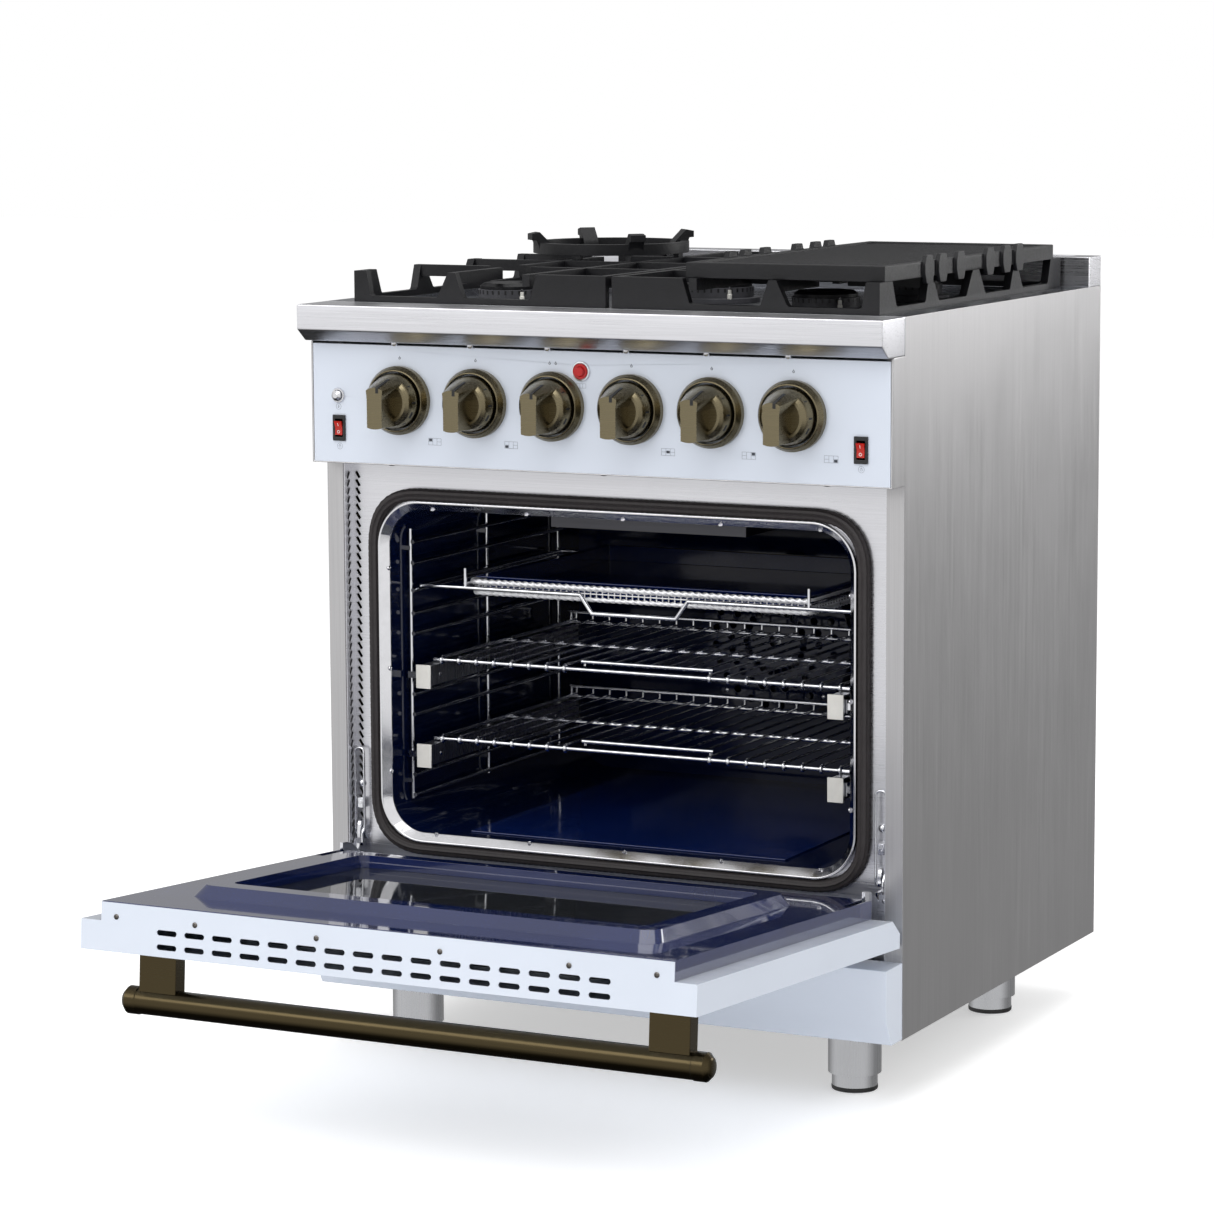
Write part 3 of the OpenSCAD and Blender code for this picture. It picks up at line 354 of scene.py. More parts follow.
class Shape:
    """Solid shapes that become one named mesh."""

    def __init__(self):
        self.verts = []
        self.faces = []

    def add(self, verts, faces):
        start = len(self.verts)
        self.verts += [Vector(v) for v in verts]
        self.faces += [tuple(start + k for k in face) for face in faces]

    def block(self, low, high, edge=0.0003):
        """A box between two corners, with its edges chamfered."""
        low, high = Vector(low), Vector(high)
        edge = min([edge] + [0.4 * abs(high[k] - low[k]) for k in range(3)])
        verts = []
        for corner in range(8):
            for kept in range(3):
                spot = []
                for axis in range(3):
                    top = corner >> axis & 1
                    inset = 0 if axis == kept else edge
                    spot.append(high[axis] - inset if top else low[axis] + inset)
                verts.append(spot)
        faces = [[corner * 3, corner * 3 + 1, corner * 3 + 2] for corner in range(8)]
        for axis in range(3):
            one, two = 1 << (axis + 1) % 3, 1 << (axis + 2) % 3
            for side in (0, 1 << axis):
                around = [side, side + one, side + one + two, side + two]
                faces.append([corner * 3 + axis for corner in around])
            for rest in (0, one, two, one + two):
                far = rest + (1 << axis)
                i, j = (axis + 1) % 3, (axis + 2) % 3
                faces.append([rest * 3 + i, far * 3 + i, far * 3 + j, rest * 3 + j])
        self.add(verts, faces)

    def sweep(self, points, ring, closed=False, up=None):
        """A skin round a line; ring(k) gives the section's points at the line's point k."""
        count = len(points)
        up = Vector(up) if up else (points[1] - points[0]).orthogonal()
        verts = []
        for k, spot in enumerate(points):
            before = points[k - 1] if closed or k else spot
            after = points[(k + 1) % count] if closed or k < count - 1 else spot
            along = (after - before).normalized()
            up = (up - along * up.dot(along)).normalized()
            side = along.cross(up)
            section = ring(k)
            verts += [spot + up * u + side * v for u, v in section]
        size = len(section)
        faces = []
        for k in range(count if closed else count - 1):
            a, b = k * size, (k + 1) % count * size
            for j in range(size):
                n = (j + 1) % size
                faces.append((a + j, a + n, b + n, b + j))
        if not closed:
            faces.append(tuple(range(size)))
            faces.append(tuple(range((count - 1) * size, count * size)))
        self.add(verts, faces)

    def tube(self, points, radius, sides=10, closed=False):
        section = circle(radius, sides)
        self.sweep([Vector(p) for p in points], lambda k: section, closed)

    def revolve(self, profile, origin, axis, sides=28, loop=False):
        """A turned piece; the profile is a list of radius and height along the axis."""
        turn = Vector(axis).normalized().to_track_quat("Z", "Y")
        verts, faces, rings = [], [], []
        for radius, height in profile:
            if radius <= 0:
                rings.append([len(verts)] * sides)
                verts.append(Vector(origin) + turn @ Vector((0, 0, height)))
                continue
            rings.append(list(range(len(verts), len(verts) + sides)))
            ring = circle(radius, sides)
            verts += [Vector(origin) + turn @ Vector((x, y, height)) for x, y in ring]
        if loop:
            rings.append(rings[0])
        for lower, upper in zip(rings, rings[1:]):
            for j in range(sides):
                n = (j + 1) % sides
                face = []
                for vert in (lower[j], lower[n], upper[n], upper[j]):
                    if vert not in face:
                        face.append(vert)
                if len(face) > 2:
                    faces.append(face)
        self.add(verts, faces)

    def prism(self, outline, origin, across, upward, depth):
        """A flat outline pushed out along across x upward."""
        across, upward = Vector(across), Vector(upward)
        out = across.cross(upward).normalized() * depth
        size = len(outline)
        low = [Vector(origin) + across * u + upward * v for u, v in outline]
        faces = [tuple(range(size)), tuple(range(size, 2 * size))]
        faces += [(k, (k + 1) % size, size + (k + 1) % size, size + k) for k in range(size)]
        self.add(low + [spot + out for spot in low], faces)

    def screw(self, origin, axis, radius, turn=0.4):
        """A pan head with a cross recess."""
        cells = 12
        recess_reach, recess_half = 0.62, 0.14
        height = radius * 0.55
        place = Vector(axis).to_track_quat("Z", "Y") @ Quaternion((0, 0, 1), turn)
        verts, faces = [], []
        for i in range(cells + 1):
            for j in range(cells + 1):
                a, b = 2 * i / cells - 1, 2 * j / cells - 1
                if abs(a) > abs(b):
                    reach, angle = a, math.pi / 4 * b / a
                else:
                    reach, angle = b, math.pi / 2 - math.pi / 4 * (a / b if b else 0)
                x, y = reach * math.cos(angle), reach * math.sin(angle)
                far = math.hypot(x, y)
                rise = height * math.sqrt(max(0.0, 1 - 0.9 * far * far))
                if far < recess_reach and min(abs(x), abs(y)) < recess_half:
                    rise -= height * 0.55
                verts.append(Vector(origin) + place @ Vector((x * radius, y * radius, rise)))
        row = cells + 1
        for i in range(cells):
            for j in range(cells):
                near, far = i * row + j, (i + 1) * row + j
                faces.append((near, far, far + 1, near + 1))
        rim = [i * row for i in range(row)] + [cells * row + j for j in range(1, row)]
        rim += [i * row + cells for i in range(cells - 1, -1, -1)] + [j for j in range(cells - 1, 0, -1)]
        start = len(verts)
        down = place @ Vector((0, 0, -0.3 * height))
        for k in rim:
            flat = verts[k] - Vector(origin)
            flat -= (place @ Vector((0, 0, 1))) * flat.dot(place @ Vector((0, 0, 1)))
            verts.append(Vector(origin) + flat + down)
        for k in range(len(rim)):
            n = (k + 1) % len(rim)
            faces.append((rim[k], rim[n], start + n, start + k))
        faces.append(tuple(range(start, start + len(rim))))
        self.add(verts, faces)

    def build(self, name, look, body="range_body", place=None, angle=38):
        data = bpy.data.meshes.new(name)
        data.from_pydata(self.verts, [], self.faces)
        work = bmesh.new()
        work.from_mesh(data)
        bmesh.ops.recalc_face_normals(work, faces=work.faces)
        for face in work.faces:
            face.smooth = True
        for edge in work.edges:
            if len(edge.link_faces) == 2 and edge.calc_face_angle(0) > math.radians(angle):
                edge.smooth = False
        work.to_mesh(data)
        work.free()
        if place is not None:
            data.transform(place)
        data.materials.append(LOOKS[look])
        piece = bpy.data.objects.new(name, data)
        bpy.context.scene.collection.objects.link(piece)
        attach(piece, body)
        return piece


OUT, IN, RIGHT, UP, DOWN = (0, -1, 0), (0, 1, 0), (1, 0, 0), (0, 0, 1), (0, 0, -1)


def smoothing_group(limit_deg=32):
    """Geometry nodes that shade smooth, apart from edges over the limit."""
    group = bpy.data.node_groups.new("smooth_by_angle", "GeometryNodeTree")
    group.interface.new_socket("Geometry", in_out="INPUT", socket_type="NodeSocketGeometry")
    group.interface.new_socket("Geometry", in_out="OUTPUT", socket_type="NodeSocketGeometry")
    start, end = group.nodes.new("NodeGroupInput"), group.nodes.new("NodeGroupOutput")
    faces = group.nodes.new("GeometryNodeSetShadeSmooth")
    edges = group.nodes.new("GeometryNodeSetShadeSmooth")
    edges.domain = "EDGE"
    angle, sharp = group.nodes.new("GeometryNodeInputMeshEdgeAngle"), group.nodes.new("FunctionNodeCompare")
    sharp.operation = "GREATER_THAN"
    sharp.inputs[1].default_value = math.radians(limit_deg)
    edges.inputs["Shade Smooth"].default_value = False
    links = group.links
    links.new(start.outputs[0], faces.inputs["Geometry"])
    links.new(faces.outputs[0], edges.inputs["Geometry"])
    links.new(angle.outputs[0], sharp.inputs[0])
    links.new(sharp.outputs[0], edges.inputs["Selection"])
    links.new(edges.outputs[0], end.inputs[0])
    return group


SMOOTHING = smoothing_group()
# rounded edges: the nodes behind each width in millimetres
EDGE_WIDTHS = {
    0.2: ("front_frame",),
    0.35: ("knob_bezels",),
    0.4: (
        "side_panel_left", "side_panel_right", "control_panel", "cooktop_tray", "push_button",
        "hinge_arms",
    ),
    0.5: (
        "opening_trim", "lower_runners", "upper_runners", "fry_tray", "rocker_left",
        "rocker_right",
    ),
    0.6: ("burner_bases", "switch_frames"),
    0.7: ("console_box",),
    0.8: ("oven_floor_plate", "handle_posts"),
    0.9: ("burner_caps",),
    1.0: ("door_skin", "door_inner", "leg_collars", "fan_cover"),
    1.2: ("vent_riser", "griddle", "wok_ring"),
    1.3: ("grate_left", "grate_right"),
    1.4: ("kick_panel",),
    1.6: ("bullnose",),
}
EDGES = {node: width for width, nodes in EDGE_WIDTHS.items() for node in nodes}
KNOB_EDGE = 0.4


def dress(node_name):
    """Welds a node's corners, rounds its edges and smooths its curved faces; its mesh stays as it is."""
    piece = NODES[node_name]
    if "custom_normal" in piece.data.attributes:
        piece.data.attributes.remove(piece.data.attributes["custom_normal"])
    weld = piece.modifiers.new("weld", "WELD")
    weld.merge_threshold = 0.00001
    is_knob = node_name.startswith("knob_") and node_name != "knob_bezels"
    width = KNOB_EDGE if is_knob else EDGES.get(node_name, 0)
    if width:
        bevel = piece.modifiers.new("edge", "BEVEL")
        bevel.width = width * MM
        bevel.segments = 2
        bevel.limit_method = "ANGLE"
        bevel.angle_limit = math.radians(34)
        bevel.use_clamp_overlap = True
    smooth = piece.modifiers.new("smooth", "NODES")
    smooth.node_group = SMOOTHING
    if width:
        weighted = piece.modifiers.new("flat faces", "WEIGHTED_NORMAL")
        weighted.keep_sharp = True


for node_name in NODES:
    dress(node_name)


# ---- door opening: rope gasket, trim screws ----

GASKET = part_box("door_gasket")
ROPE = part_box("door_gasket")[1].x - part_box("opening_trim")[1].x


def rope_gasket():
    """A braided rope round the door opening, flat where it lies on the frame."""
    low, high = GASKET
    half = ROPE / 2
    left, right, foot, top = low.x + half, high.x - half, low.z + half, high.z - half
    y = high.y - 5 * MM
    corners = [Vector(p) for p in ((left, y, foot), (right, y, foot), (right, y, top), (left, y, top))]
    line = walked(bent(corners, 0.064, 10, True), 0.0026, True)
    sides = 30
    lobes = 9

    def section(k):
        ring = []
        for j in range(sides):
            angle = 2 * math.pi * j / sides
            ridge = math.cos(lobes * angle)
            braid = math.sin(2.1 * k + (3.1 if ridge > 0 else 0) + angle * 2)
            reach = half * (0.85 + 0.12 * ridge + 0.03 * braid)
            ring.append((max(-4.8 * MM, reach * math.cos(angle)), reach * math.sin(angle)))
        return ring

    shape = Shape()
    shape.sweep(line, section, True, up=OUT)
    return shape.build("gasket_rope", "rope", angle=80)


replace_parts(rope_gasket(), "door_gasket")


def trim_screws():
    """Small screws through the trim of the opening, on all four sides."""
    low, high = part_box("opening_trim")
    inset = 10.4 * MM
    size = 2.8 * MM
    y = (low.y + high.y) / 2 + 2.5 * MM
    shape = Shape()
    for x in (-243, -115, 13, 140, 267):
        shape.screw((x * MM, y, low.z + inset), UP, size, 0.2 * x)
        shape.screw((x * MM, y, high.z - inset), DOWN, size, 0.3 * x)
    for z in (340, 467, 590):
        for side in (-1, 1):
            shape.screw((side * (high.x - inset), y, z * MM), (-side, 0, 0), size, 0.1 * z)
    return shape.build("trim_screws", "polished_trim")


trim_screws()


# ---- oven: basket mesh, racks, slides, lamp, probe ----


def mesh_basket():
    """Square wire mesh over the basket's floor and walls, with a twisted roll at the rim and the foot."""
    low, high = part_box("fry_basket")
    x1, y0, y1 = high.x - 6 * MM, low.y + 6 * MM, high.y - 4 * MM
    foot, top = low.z + 1.2 * MM, high.z - 4 * MM
    wire = 0.85 * MM
    corner = 8 * MM
    pitch = 8 * MM
    fold = 2 * MM
    shape = Shape()
    count = round((2 * x1 - 2 * corner) / pitch)
    for k in range(count + 1):
        x = -x1 + corner + (2 * x1 - 2 * corner) * k / count
        line = [(x, y0, top), (x, y0, foot + fold), (x, y0 + fold, foot)]
        line += [(x, y1 - fold, foot), (x, y1, foot + fold), (x, y1, top)]
        shape.tube(line, wire, 6)
    count = round((y1 - y0 - 2 * corner) / pitch)
    for k in range(count + 1):
        y = y0 + corner + (y1 - y0 - 2 * corner) * k / count
        line = [(-x1, y, top), (-x1, y, foot + fold), (fold - x1, y, foot + wire)]
        line += [(x1 - fold, y, foot + wire), (x1, y, foot + fold), (x1, y, top)]
        shape.tube(line, wire, 6)

    def loop(inset, z):
        left, right, near, far = low.x + inset, high.x - inset, low.y + inset, high.y - inset
        return [Vector(p) for p in ((left, near, z), (right, near, z), (right, far, z), (left, far, z))]

    shape.tube(bent(loop(5.6 * MM, (low.z + high.z) / 2 - 0.5 * MM), corner, 4, True), wire, 6, True)
    # inset, height, half width and half height of the twisted roll at the rim and at the foot
    rolls = (
        (3.4 * MM, high.z - 4.2 * MM, 3.2 * MM, 4 * MM),
        (5.4 * MM, low.z + 3.2 * MM, 2.4 * MM, 3.1 * MM),
    )
    for inset, z, flat, tall in rolls:
        line = walked(bent(loop(inset, z), corner + 3 * MM, 6, True), 1.7 * MM, True)

        def twist(k, flat=flat, tall=tall):
            ring = []
            for j in range(12):
                angle = math.pi * j / 6
                reach = 0.82 + 0.18 * math.cos(3 * angle - 1.15 * k)
                ring.append((flat * reach * math.cos(angle), tall * reach * math.sin(angle)))
            return ring

        shape.sweep(line, twist, True, up=OUT)
    return shape.build("fry_basket_mesh", "lit_mesh_wire", "basket", angle=60)


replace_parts(mesh_basket(), "fry_basket")


def rack_joints(node, body):
    """Wire ends curled round the front rail, and weld beads on the middle rail."""
    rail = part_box(node)[0].z + 2.5 * MM
    front = FRONT + 80 * MM
    middle = FRONT + 260 * MM
    curl = in_mm([(2.6, -2.4), (4.6, -2), (5.6, -0.8), (5.6, 0.8), (4.6, 2), (2.6, 2.4)])
    bead = in_mm([(0, -2.6), (1.9, -1.6), (2.3, 0), (1.9, 1.6), (0, 2.6)])
    shape = Shape()
    for k in range(-11, 12):
        x = k * 24.2 * MM
        if abs(k) > 3:
            shape.revolve(curl, (x, front, rail), RIGHT, 16)
        shape.revolve(bead, (x, middle, rail + 2.6 * MM), IN, 8)
    return shape.build(node + "_welds", "chrome_wire", body)


rack_joints("lower_rack", "lower_shelf")
rack_joints("upper_rack", "upper_shelf")


def slide_fittings(node, body):
    """Square front caps and rivets on a pair of slides."""
    low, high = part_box(node)
    dome = in_mm([(2.6, -0.2), (2.5, 0.4), (1.6, 0.9), (0, 1.1)])
    shape = Shape()
    for side in (-1, 1):
        for depth in (24, 130, 330):
            spot = (side * 266 * MM, FRONT + (50 + depth) * MM, (low.z + high.z) / 2)
            shape.revolve(dome, spot, (-side, 0, 0), 14)
    wide, over = 20.2 * MM, 0.2 * MM
    caps = Shape()
    for side in (-1, 1):
        inner, outer = sorted((side * (high.x - wide), side * (high.x + over)))
        near = (inner, low.y - 0.8 * MM, low.z - over)
        caps.block(near, (outer, low.y + 0.4 * MM, high.z + over), 1.2 * MM)
    caps.build(node + "_caps", "satin_cap", body)
    return shape.build(node + "_rivets", "polished_trim", body)


slide_fittings("lower_runners", "lower_shelf")
slide_fittings("upper_runners", "upper_shelf")


def oven_fittings():
    """Lamp glass, temperature probe and cover screws on the oven's back wall."""
    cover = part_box("fan_cover")
    centre = (cover[0] + cover[1]) / 2
    back = cover[1].y
    screws = Shape()
    for k in range(4):
        a = math.pi / 4 + k * math.pi / 2
        reach = 96 * MM
        spot = Vector((centre.x + reach * math.cos(a), cover[0].y, centre.z + reach * math.sin(a)))
        screws.screw(spot, OUT, 3 * MM, a)
    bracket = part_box("oven_liner")[1].z - 46 * MM
    for x in (-150 * MM, -90 * MM):
        near = Vector((x, back - 9 * MM, bracket - 4 * MM))
        screws.block(near, Vector((x + 3 * MM, back, bracket + 4 * MM)))
    screws.build("fan_cover_screws", "polished_trim")
    probe = Shape()
    line = [Vector((-75 * MM, back, bracket)), Vector((-75 * MM, back - 6 * MM, bracket))]
    line += [Vector((-170 * MM, back - 6 * MM, bracket))]
    probe.tube(bent(line, 4 * MM, 5), 1.8 * MM, 12)
    probe.build("temperature_probe", "steel_tube")
    lamp = (200 * MM, back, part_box("oven_liner")[1].z - 70 * MM)
    bezel = Shape()
    profile = in_mm([(31, 0), (32, 3), (29, 5), (26, 4), (26, 0)])
    bezel.revolve(profile, lamp, OUT, 40, True)
    bezel.build("oven_lamp_ring", "polished_trim")
    cap = Shape()
    profile = in_mm([(0, 0), (26, 0), (26, 4), (24, 10), (18, 15), (9, 17.5), (0, 18)])
    cap.revolve(profile, lamp, OUT, 40)
    cap.build("oven_lamp_glass", "lamp_glass")


oven_fittings()


# ---- console: marks, icons, rings and pins ----

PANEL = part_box("control_panel")
FACE = PANEL[0].y
KNOBS = [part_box("knob_%d" % (k + 1)) for k in range(6)]
KNOB_X = [(low.x + high.x) / 2 for low, high in KNOBS]
KNOB_Z = Vector(JOINTS["knob_1_turn"]["pos_m"]).z
INK = 0.12 * MM
THIN = 0.35 * MM
# column and height of the dark square on each knob's burner map; knob 3 has no map
MAP_SPOTS = {0: (0, 0.5), 1: (0, 0.0), 3: (1, 0.25), 4: (2, 0.5), 5: (2, 0.0)}


def ring_print(shape, x, z, radius, width):
    profile = [(radius - width, 0), (radius, 0), (radius, INK), (radius - width, INK)]
    shape.revolve(profile, (x, FACE, z), OUT, 28, True)


def bar_print(shape, x0, z0, x1, z1):
    shape.block((x0, FACE - INK, z0), (x1, FACE, z1), 0.0)


def panel_print():
    """Generic marks: a dot over each knob, burner maps and switch symbols."""
    grey, dark = Shape(), Shape()
    for k, x in enumerate(KNOB_X):
        top = KNOB_Z + 50 * MM
        for spot in ((x - 4 * MM, x + 4 * MM) if k == 2 else (x,)):
            ring_print(dark, spot, top, 1.5 * MM, 0.7 * MM)
            bar_print(dark, spot - 0.3 * MM, top + 1.7 * MM, spot + 0.3 * MM, top + 2.6 * MM)
        if k not in MAP_SPOTS:
            continue
        # a frame with three columns, the outer two halved, and the burner's square inside
        left, foot, wide, high = x + 38 * MM, KNOB_Z - 52 * MM, 17 * MM, 8 * MM
        for z in (foot, foot + high):
            bar_print(grey, left, z, left + wide, z + THIN)
        edges = [left + wide * step / 3 for step in range(4)]
        for edge in edges:
            bar_print(grey, edge, foot, edge + THIN, foot + high)
        for start in (0, 2):
            bar_print(grey, edges[start], foot + high / 2, edges[start + 1], foot + high / 2 + THIN)
        column, lift = MAP_SPOTS[k]
        low_z = foot + high * lift + 0.7 * MM
        bar_print(dark, edges[column] + 0.9 * MM, low_z, edges[column + 1] - 0.5 * MM, low_z + 3 * MM)
    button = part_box("push_button")
    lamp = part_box("indicator_lamp")
    bx, bz = (button[0].x + button[1].x) / 2, button[0].z - 7.5 * MM
    ring_print(grey, bx, bz, 3.6 * MM, THIN)
    spark = [(-1.2, -1), (0.2, -1.6), (-0.3, 0), (1.4, 0.2), (-0.6, 1.9), (0, 0.4)]
    dark.prism(spark, (bx, FACE, bz), (MM, 0, 0), (0, 0, MM), INK)
    for node in ("rocker_left", "rocker_right"):
        low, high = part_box(node)
        x, z = (low.x + high.x) / 2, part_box("switch_frames")[0].z - 6.5 * MM
        ring_print(grey, x, z, 3.8 * MM, THIN)
        ring_print(grey, x, z, 1.7 * MM, THIN)
        bar_print(grey, x - 0.2 * MM, z, x + 0.2 * MM, z + 2.6 * MM)
    lx, lz = (lamp[0].x + lamp[1].x) / 2, lamp[0].z - 8 * MM
    for x in (lx - 6 * MM, lx - 1.8 * MM, lx + 1.8 * MM, lx + 6 * MM):
        bar_print(grey, x - 0.15 * MM, lz - 2.6 * MM, x + 0.15 * MM, lz + 2.6 * MM)
    for z in (lz - 2.6 * MM, lz + 2.6 * MM):
        bar_print(grey, lx - 6 * MM, z - 0.15 * MM, lx + 6 * MM, z + 0.15 * MM)
    grey.build("panel_icons", "print_grey")
    dark.build("panel_marks", "print_dark")


panel_print()


def knob_marks(k):
    """The black pointer over the grip's ramp and front, and the heat marks on the skirt."""
    x = KNOB_X[k]
    reach = FACE - KNOBS[k][0].y
    mark = Shape()
    half = 1.9 * MM

    def ramp(out):
        return 38.1 * MM - 0.3 * out + 0.02 * MM

    near, far = 34 * MM, reach - 0.3 * MM
    inside, outside, foot = reach - 0.5 * MM, reach + INK, 13 * MM
    outline = [(near, ramp(near) - 0.5 * MM), (near, ramp(near)), (far, ramp(far))]
    outline += [(outside, ramp(far) - 0.5 * MM), (outside, foot)]
    outline += [(inside, foot), (inside, ramp(far) - 0.9 * MM)]
    mark.prism(outline, (x + half, FACE, KNOB_Z), OUT, UP, -2 * half)

    def skirt(angle, rise):
        radius = 33 * MM - 3.5 * MM * rise + 0.06 * MM
        y = FACE - (17 + 11.5 * rise) * MM
        return Vector((x + radius * math.sin(angle), y, KNOB_Z + radius * math.cos(angle)))

    # first and last angle of each heat mark, and its lower and upper edge as shares of the skirt
    marks = ((1.55, 1.62, 0.25, 0.75), (1.95, 2.2, 0.35, 0.62), (2.45, 2.62, 0.4, 0.58))
    for start, end, low, high in marks + ((0.9, 0.95, 0.3, 0.7),):
        verts, faces = [], []
        for step in range(5):
            angle = start + (end - start) * step / 4
            for rise in (low, high):
                spot = skirt(angle, rise)
                verts += [spot, Vector((x, FACE - 20 * MM, KNOB_Z)).lerp(spot, 0.985)]
        for step in range(4):
            a, b = step * 4, step * 4 + 4
            faces += [(a, b, b + 2, a + 2), (a + 1, b + 1, b + 3, a + 3)]
            faces += [(a, b, b + 1, a + 1), (a + 2, b + 2, b + 3, a + 3)]
        faces += [(0, 1, 3, 2), (16, 17, 19, 18)]
        mark.add(verts, faces)
    mark.build("knob_%d_pointer" % (k + 1), "black_print_and_port_shade", "knob_body_%d" % (k + 1))


for knob_index in range(6):
    knob_marks(knob_index)


def console_fittings():
    """Rings round the lamp and the button, studs, bumpers and the marks on the rockers."""
    bright, dark = Shape(), Shape()
    lamp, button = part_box("indicator_lamp"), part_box("push_button")
    for low, high in (lamp, button):
        spot = ((low.x + high.x) / 2, FACE, (low.z + high.z) / 2)
        inner = (high.x - low.x) / 2 / MM + 0.5
        outer = inner + 2.6
        profile = [(inner, 0), (outer, 0), (outer, 0.8), (outer - 0.8, 2.2), (inner + 0.4, 2.4), (inner, 1.6)]
        bright.revolve(in_mm(profile), spot, OUT, 40, True)
    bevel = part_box("bullnose")[0].z
    stud = in_mm([(3.8, -1), (3.8, 2.4), (3, 4), (1.4, 4.8), (0, 5)])
    for x in KNOB_X:
        bright.revolve(stud, (x - 5 * MM, FACE - 3.4 * MM, bevel), DOWN, 20)
    dome = in_mm([(5.5, -0.3), (5.4, 0.8), (4, 1.6), (2, 2.1), (0, 2.2)])
    for x in (-276, 8, 292):
        spot = (x * MM, FACE + 14 * MM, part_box("console_box")[0].z)
        dark.revolve(dome, spot, DOWN, 24)
    bright.build("console_rings", "polished_trim")
    dark.build("console_bumpers", "black_plastic")
    for node, body in (("rocker_left", "left_rocker"), ("rocker_right", "right_rocker")):
        low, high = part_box(node)
        x, z = (low.x + high.x) / 2, (low.z + high.z) / 2
        white = Shape()
        # a bar on the upper face, which leans out toward the top, and a ring on the lower one
        bar = [(-0.35, -2), (0.35, -2), (0.35, 2), (-0.35, 2)]
        spot = (x, low.y + 1.75 * MM - INK, z + 4.2 * MM)
        white.prism(bar, spot, (MM, 0, 0), (0, -0.38 * MM, 0.92 * MM), INK)
        ring = in_mm([(1.2, 0), (1.9, 0), (1.9, 0.25), (1.2, 0.25)])
        white.revolve(ring, (x, low.y + 3.2 * MM, z - 4.6 * MM), (0, -1, -0.06), 24, True)
        white.build(node + "_marks", "print_white", body)


console_fittings()


# ---- door: edge screws, handle ends ----


def door_fittings():
    """Screws in the door's top edge, and the caps and grooves of the handle."""
    screws = Shape()
    y = HINGE.y + 25.5 * MM
    top = HINGE.z + (719 - 205.4) * MM
    for x in (-332, -230, -76, 76, 230, 332):
        screws.screw((x * MM, y, top), UP, 3.1 * MM, 0.01 * x)
    screws.build("door_edge_screws", "dark_screw", "door", ON_DOOR)
    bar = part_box("handle_bar")
    centre = (bar[0] + bar[1]) / 2
    radius = (bar[1].z - bar[0].z) / 2
    caps = Shape()
    for side in (-1, 1):
        end = (side * (bar[1].x - 0.2 * MM), centre.y, centre.z)
        profile = [(radius - 5.2 * MM, 0), (radius - 6.5 * MM, 1.1 * MM)]
        profile += [(radius - 10 * MM, 2 * MM), (0, 2.4 * MM)]
        caps.revolve(profile, end, (side, 0, 0), 48)
        rim, bed, wide = radius + 0.05 * MM, radius - 0.6 * MM, 0.7 * MM
        groove = [(rim, 0), (rim, wide), (bed, wide), (bed, 0)]
        spot = (side * (bar[1].x - 18 * MM), centre.y, centre.z)
        caps.revolve(groove, spot, (side, 0, 0), 48, True)
    caps.build("handle_end_caps", "shaded_handle_brass", "door")


door_fittings()


# ---- hinges ----


def hinge_fittings():
    """Wire bail, rivet, keeper and claw in the gap beside the gasket, on both sides."""
    wires, plates = Shape(), Shape()
    y, wall = FRONT + 12 * MM, FRONT + 19.9 * MM
    for side in (-1, 1):
        x = side * 346 * MM
        foot, top = 262 * MM, 367 * MM
        half = 6.2 * MM
        bail = [(x - half * 1.4, y + 6 * MM, foot - 8 * MM), (x - half, y, foot), (x - half, y, top)]
        bail += [(x + half, y, top), (x + half, y, foot), (x + half * 1.2, y + 6 * MM, foot - 8 * MM)]
        wires.tube(bent(bail, 6 * MM, 6), 1.5 * MM, 10)
        rivet = in_mm([(5.2, 0), (5.2, 0.8), (4.4, 2.6), (2.4, 4), (0, 4.5)])
        wires.revolve(rivet, (x - 1 * MM, FRONT + 19.8 * MM, 322 * MM), OUT, 24)
        near = (x - 4 * MM, y, 292 * MM)
        plates.block(near, (x + 4 * MM, wall, 305 * MM), 0.6 * MM)
        pin = in_mm([(2.4, -0.2), (2.4, 0.5), (0, 0.7)])
        wires.revolve(pin, (x, y, 299 * MM), OUT, 16)
        outer = []
        for step in range(13):
            a = math.radians(205 - step * 17)
            outer.append((5 * math.cos(a), 15 * math.sin(a)))
        inner = [(0.55 * u + 0.8, 0.55 * v - 1) for u, v in reversed(outer)]
        spot = (x - 2 * MM, FRONT + 12.5 * MM, 262 * MM)
        plates.prism(outer + inner, spot, (0, MM, 0), (0, 0, MM), 4 * MM)
        cheek = [(-3, -12), (6, -14), (12, 4), (10, 12), (2, 12), (-4, 2)]
        spot = (x + 3.4 * MM, FRONT + 11.5 * MM, 258 * MM)
        plates.prism(cheek, spot, (0, MM, 0), (0, 0, MM), 1.6 * MM)
        for z in (236, 250):
            wires.screw((x + side * MM, wall, z * MM), OUT, 2.8 * MM)
    wires.build("hinge_bails", "chrome_wire")
    plates.build("hinge_keepers", "chrome_wire")


hinge_fittings()


# ---- cooktop: burner ports, igniters ----


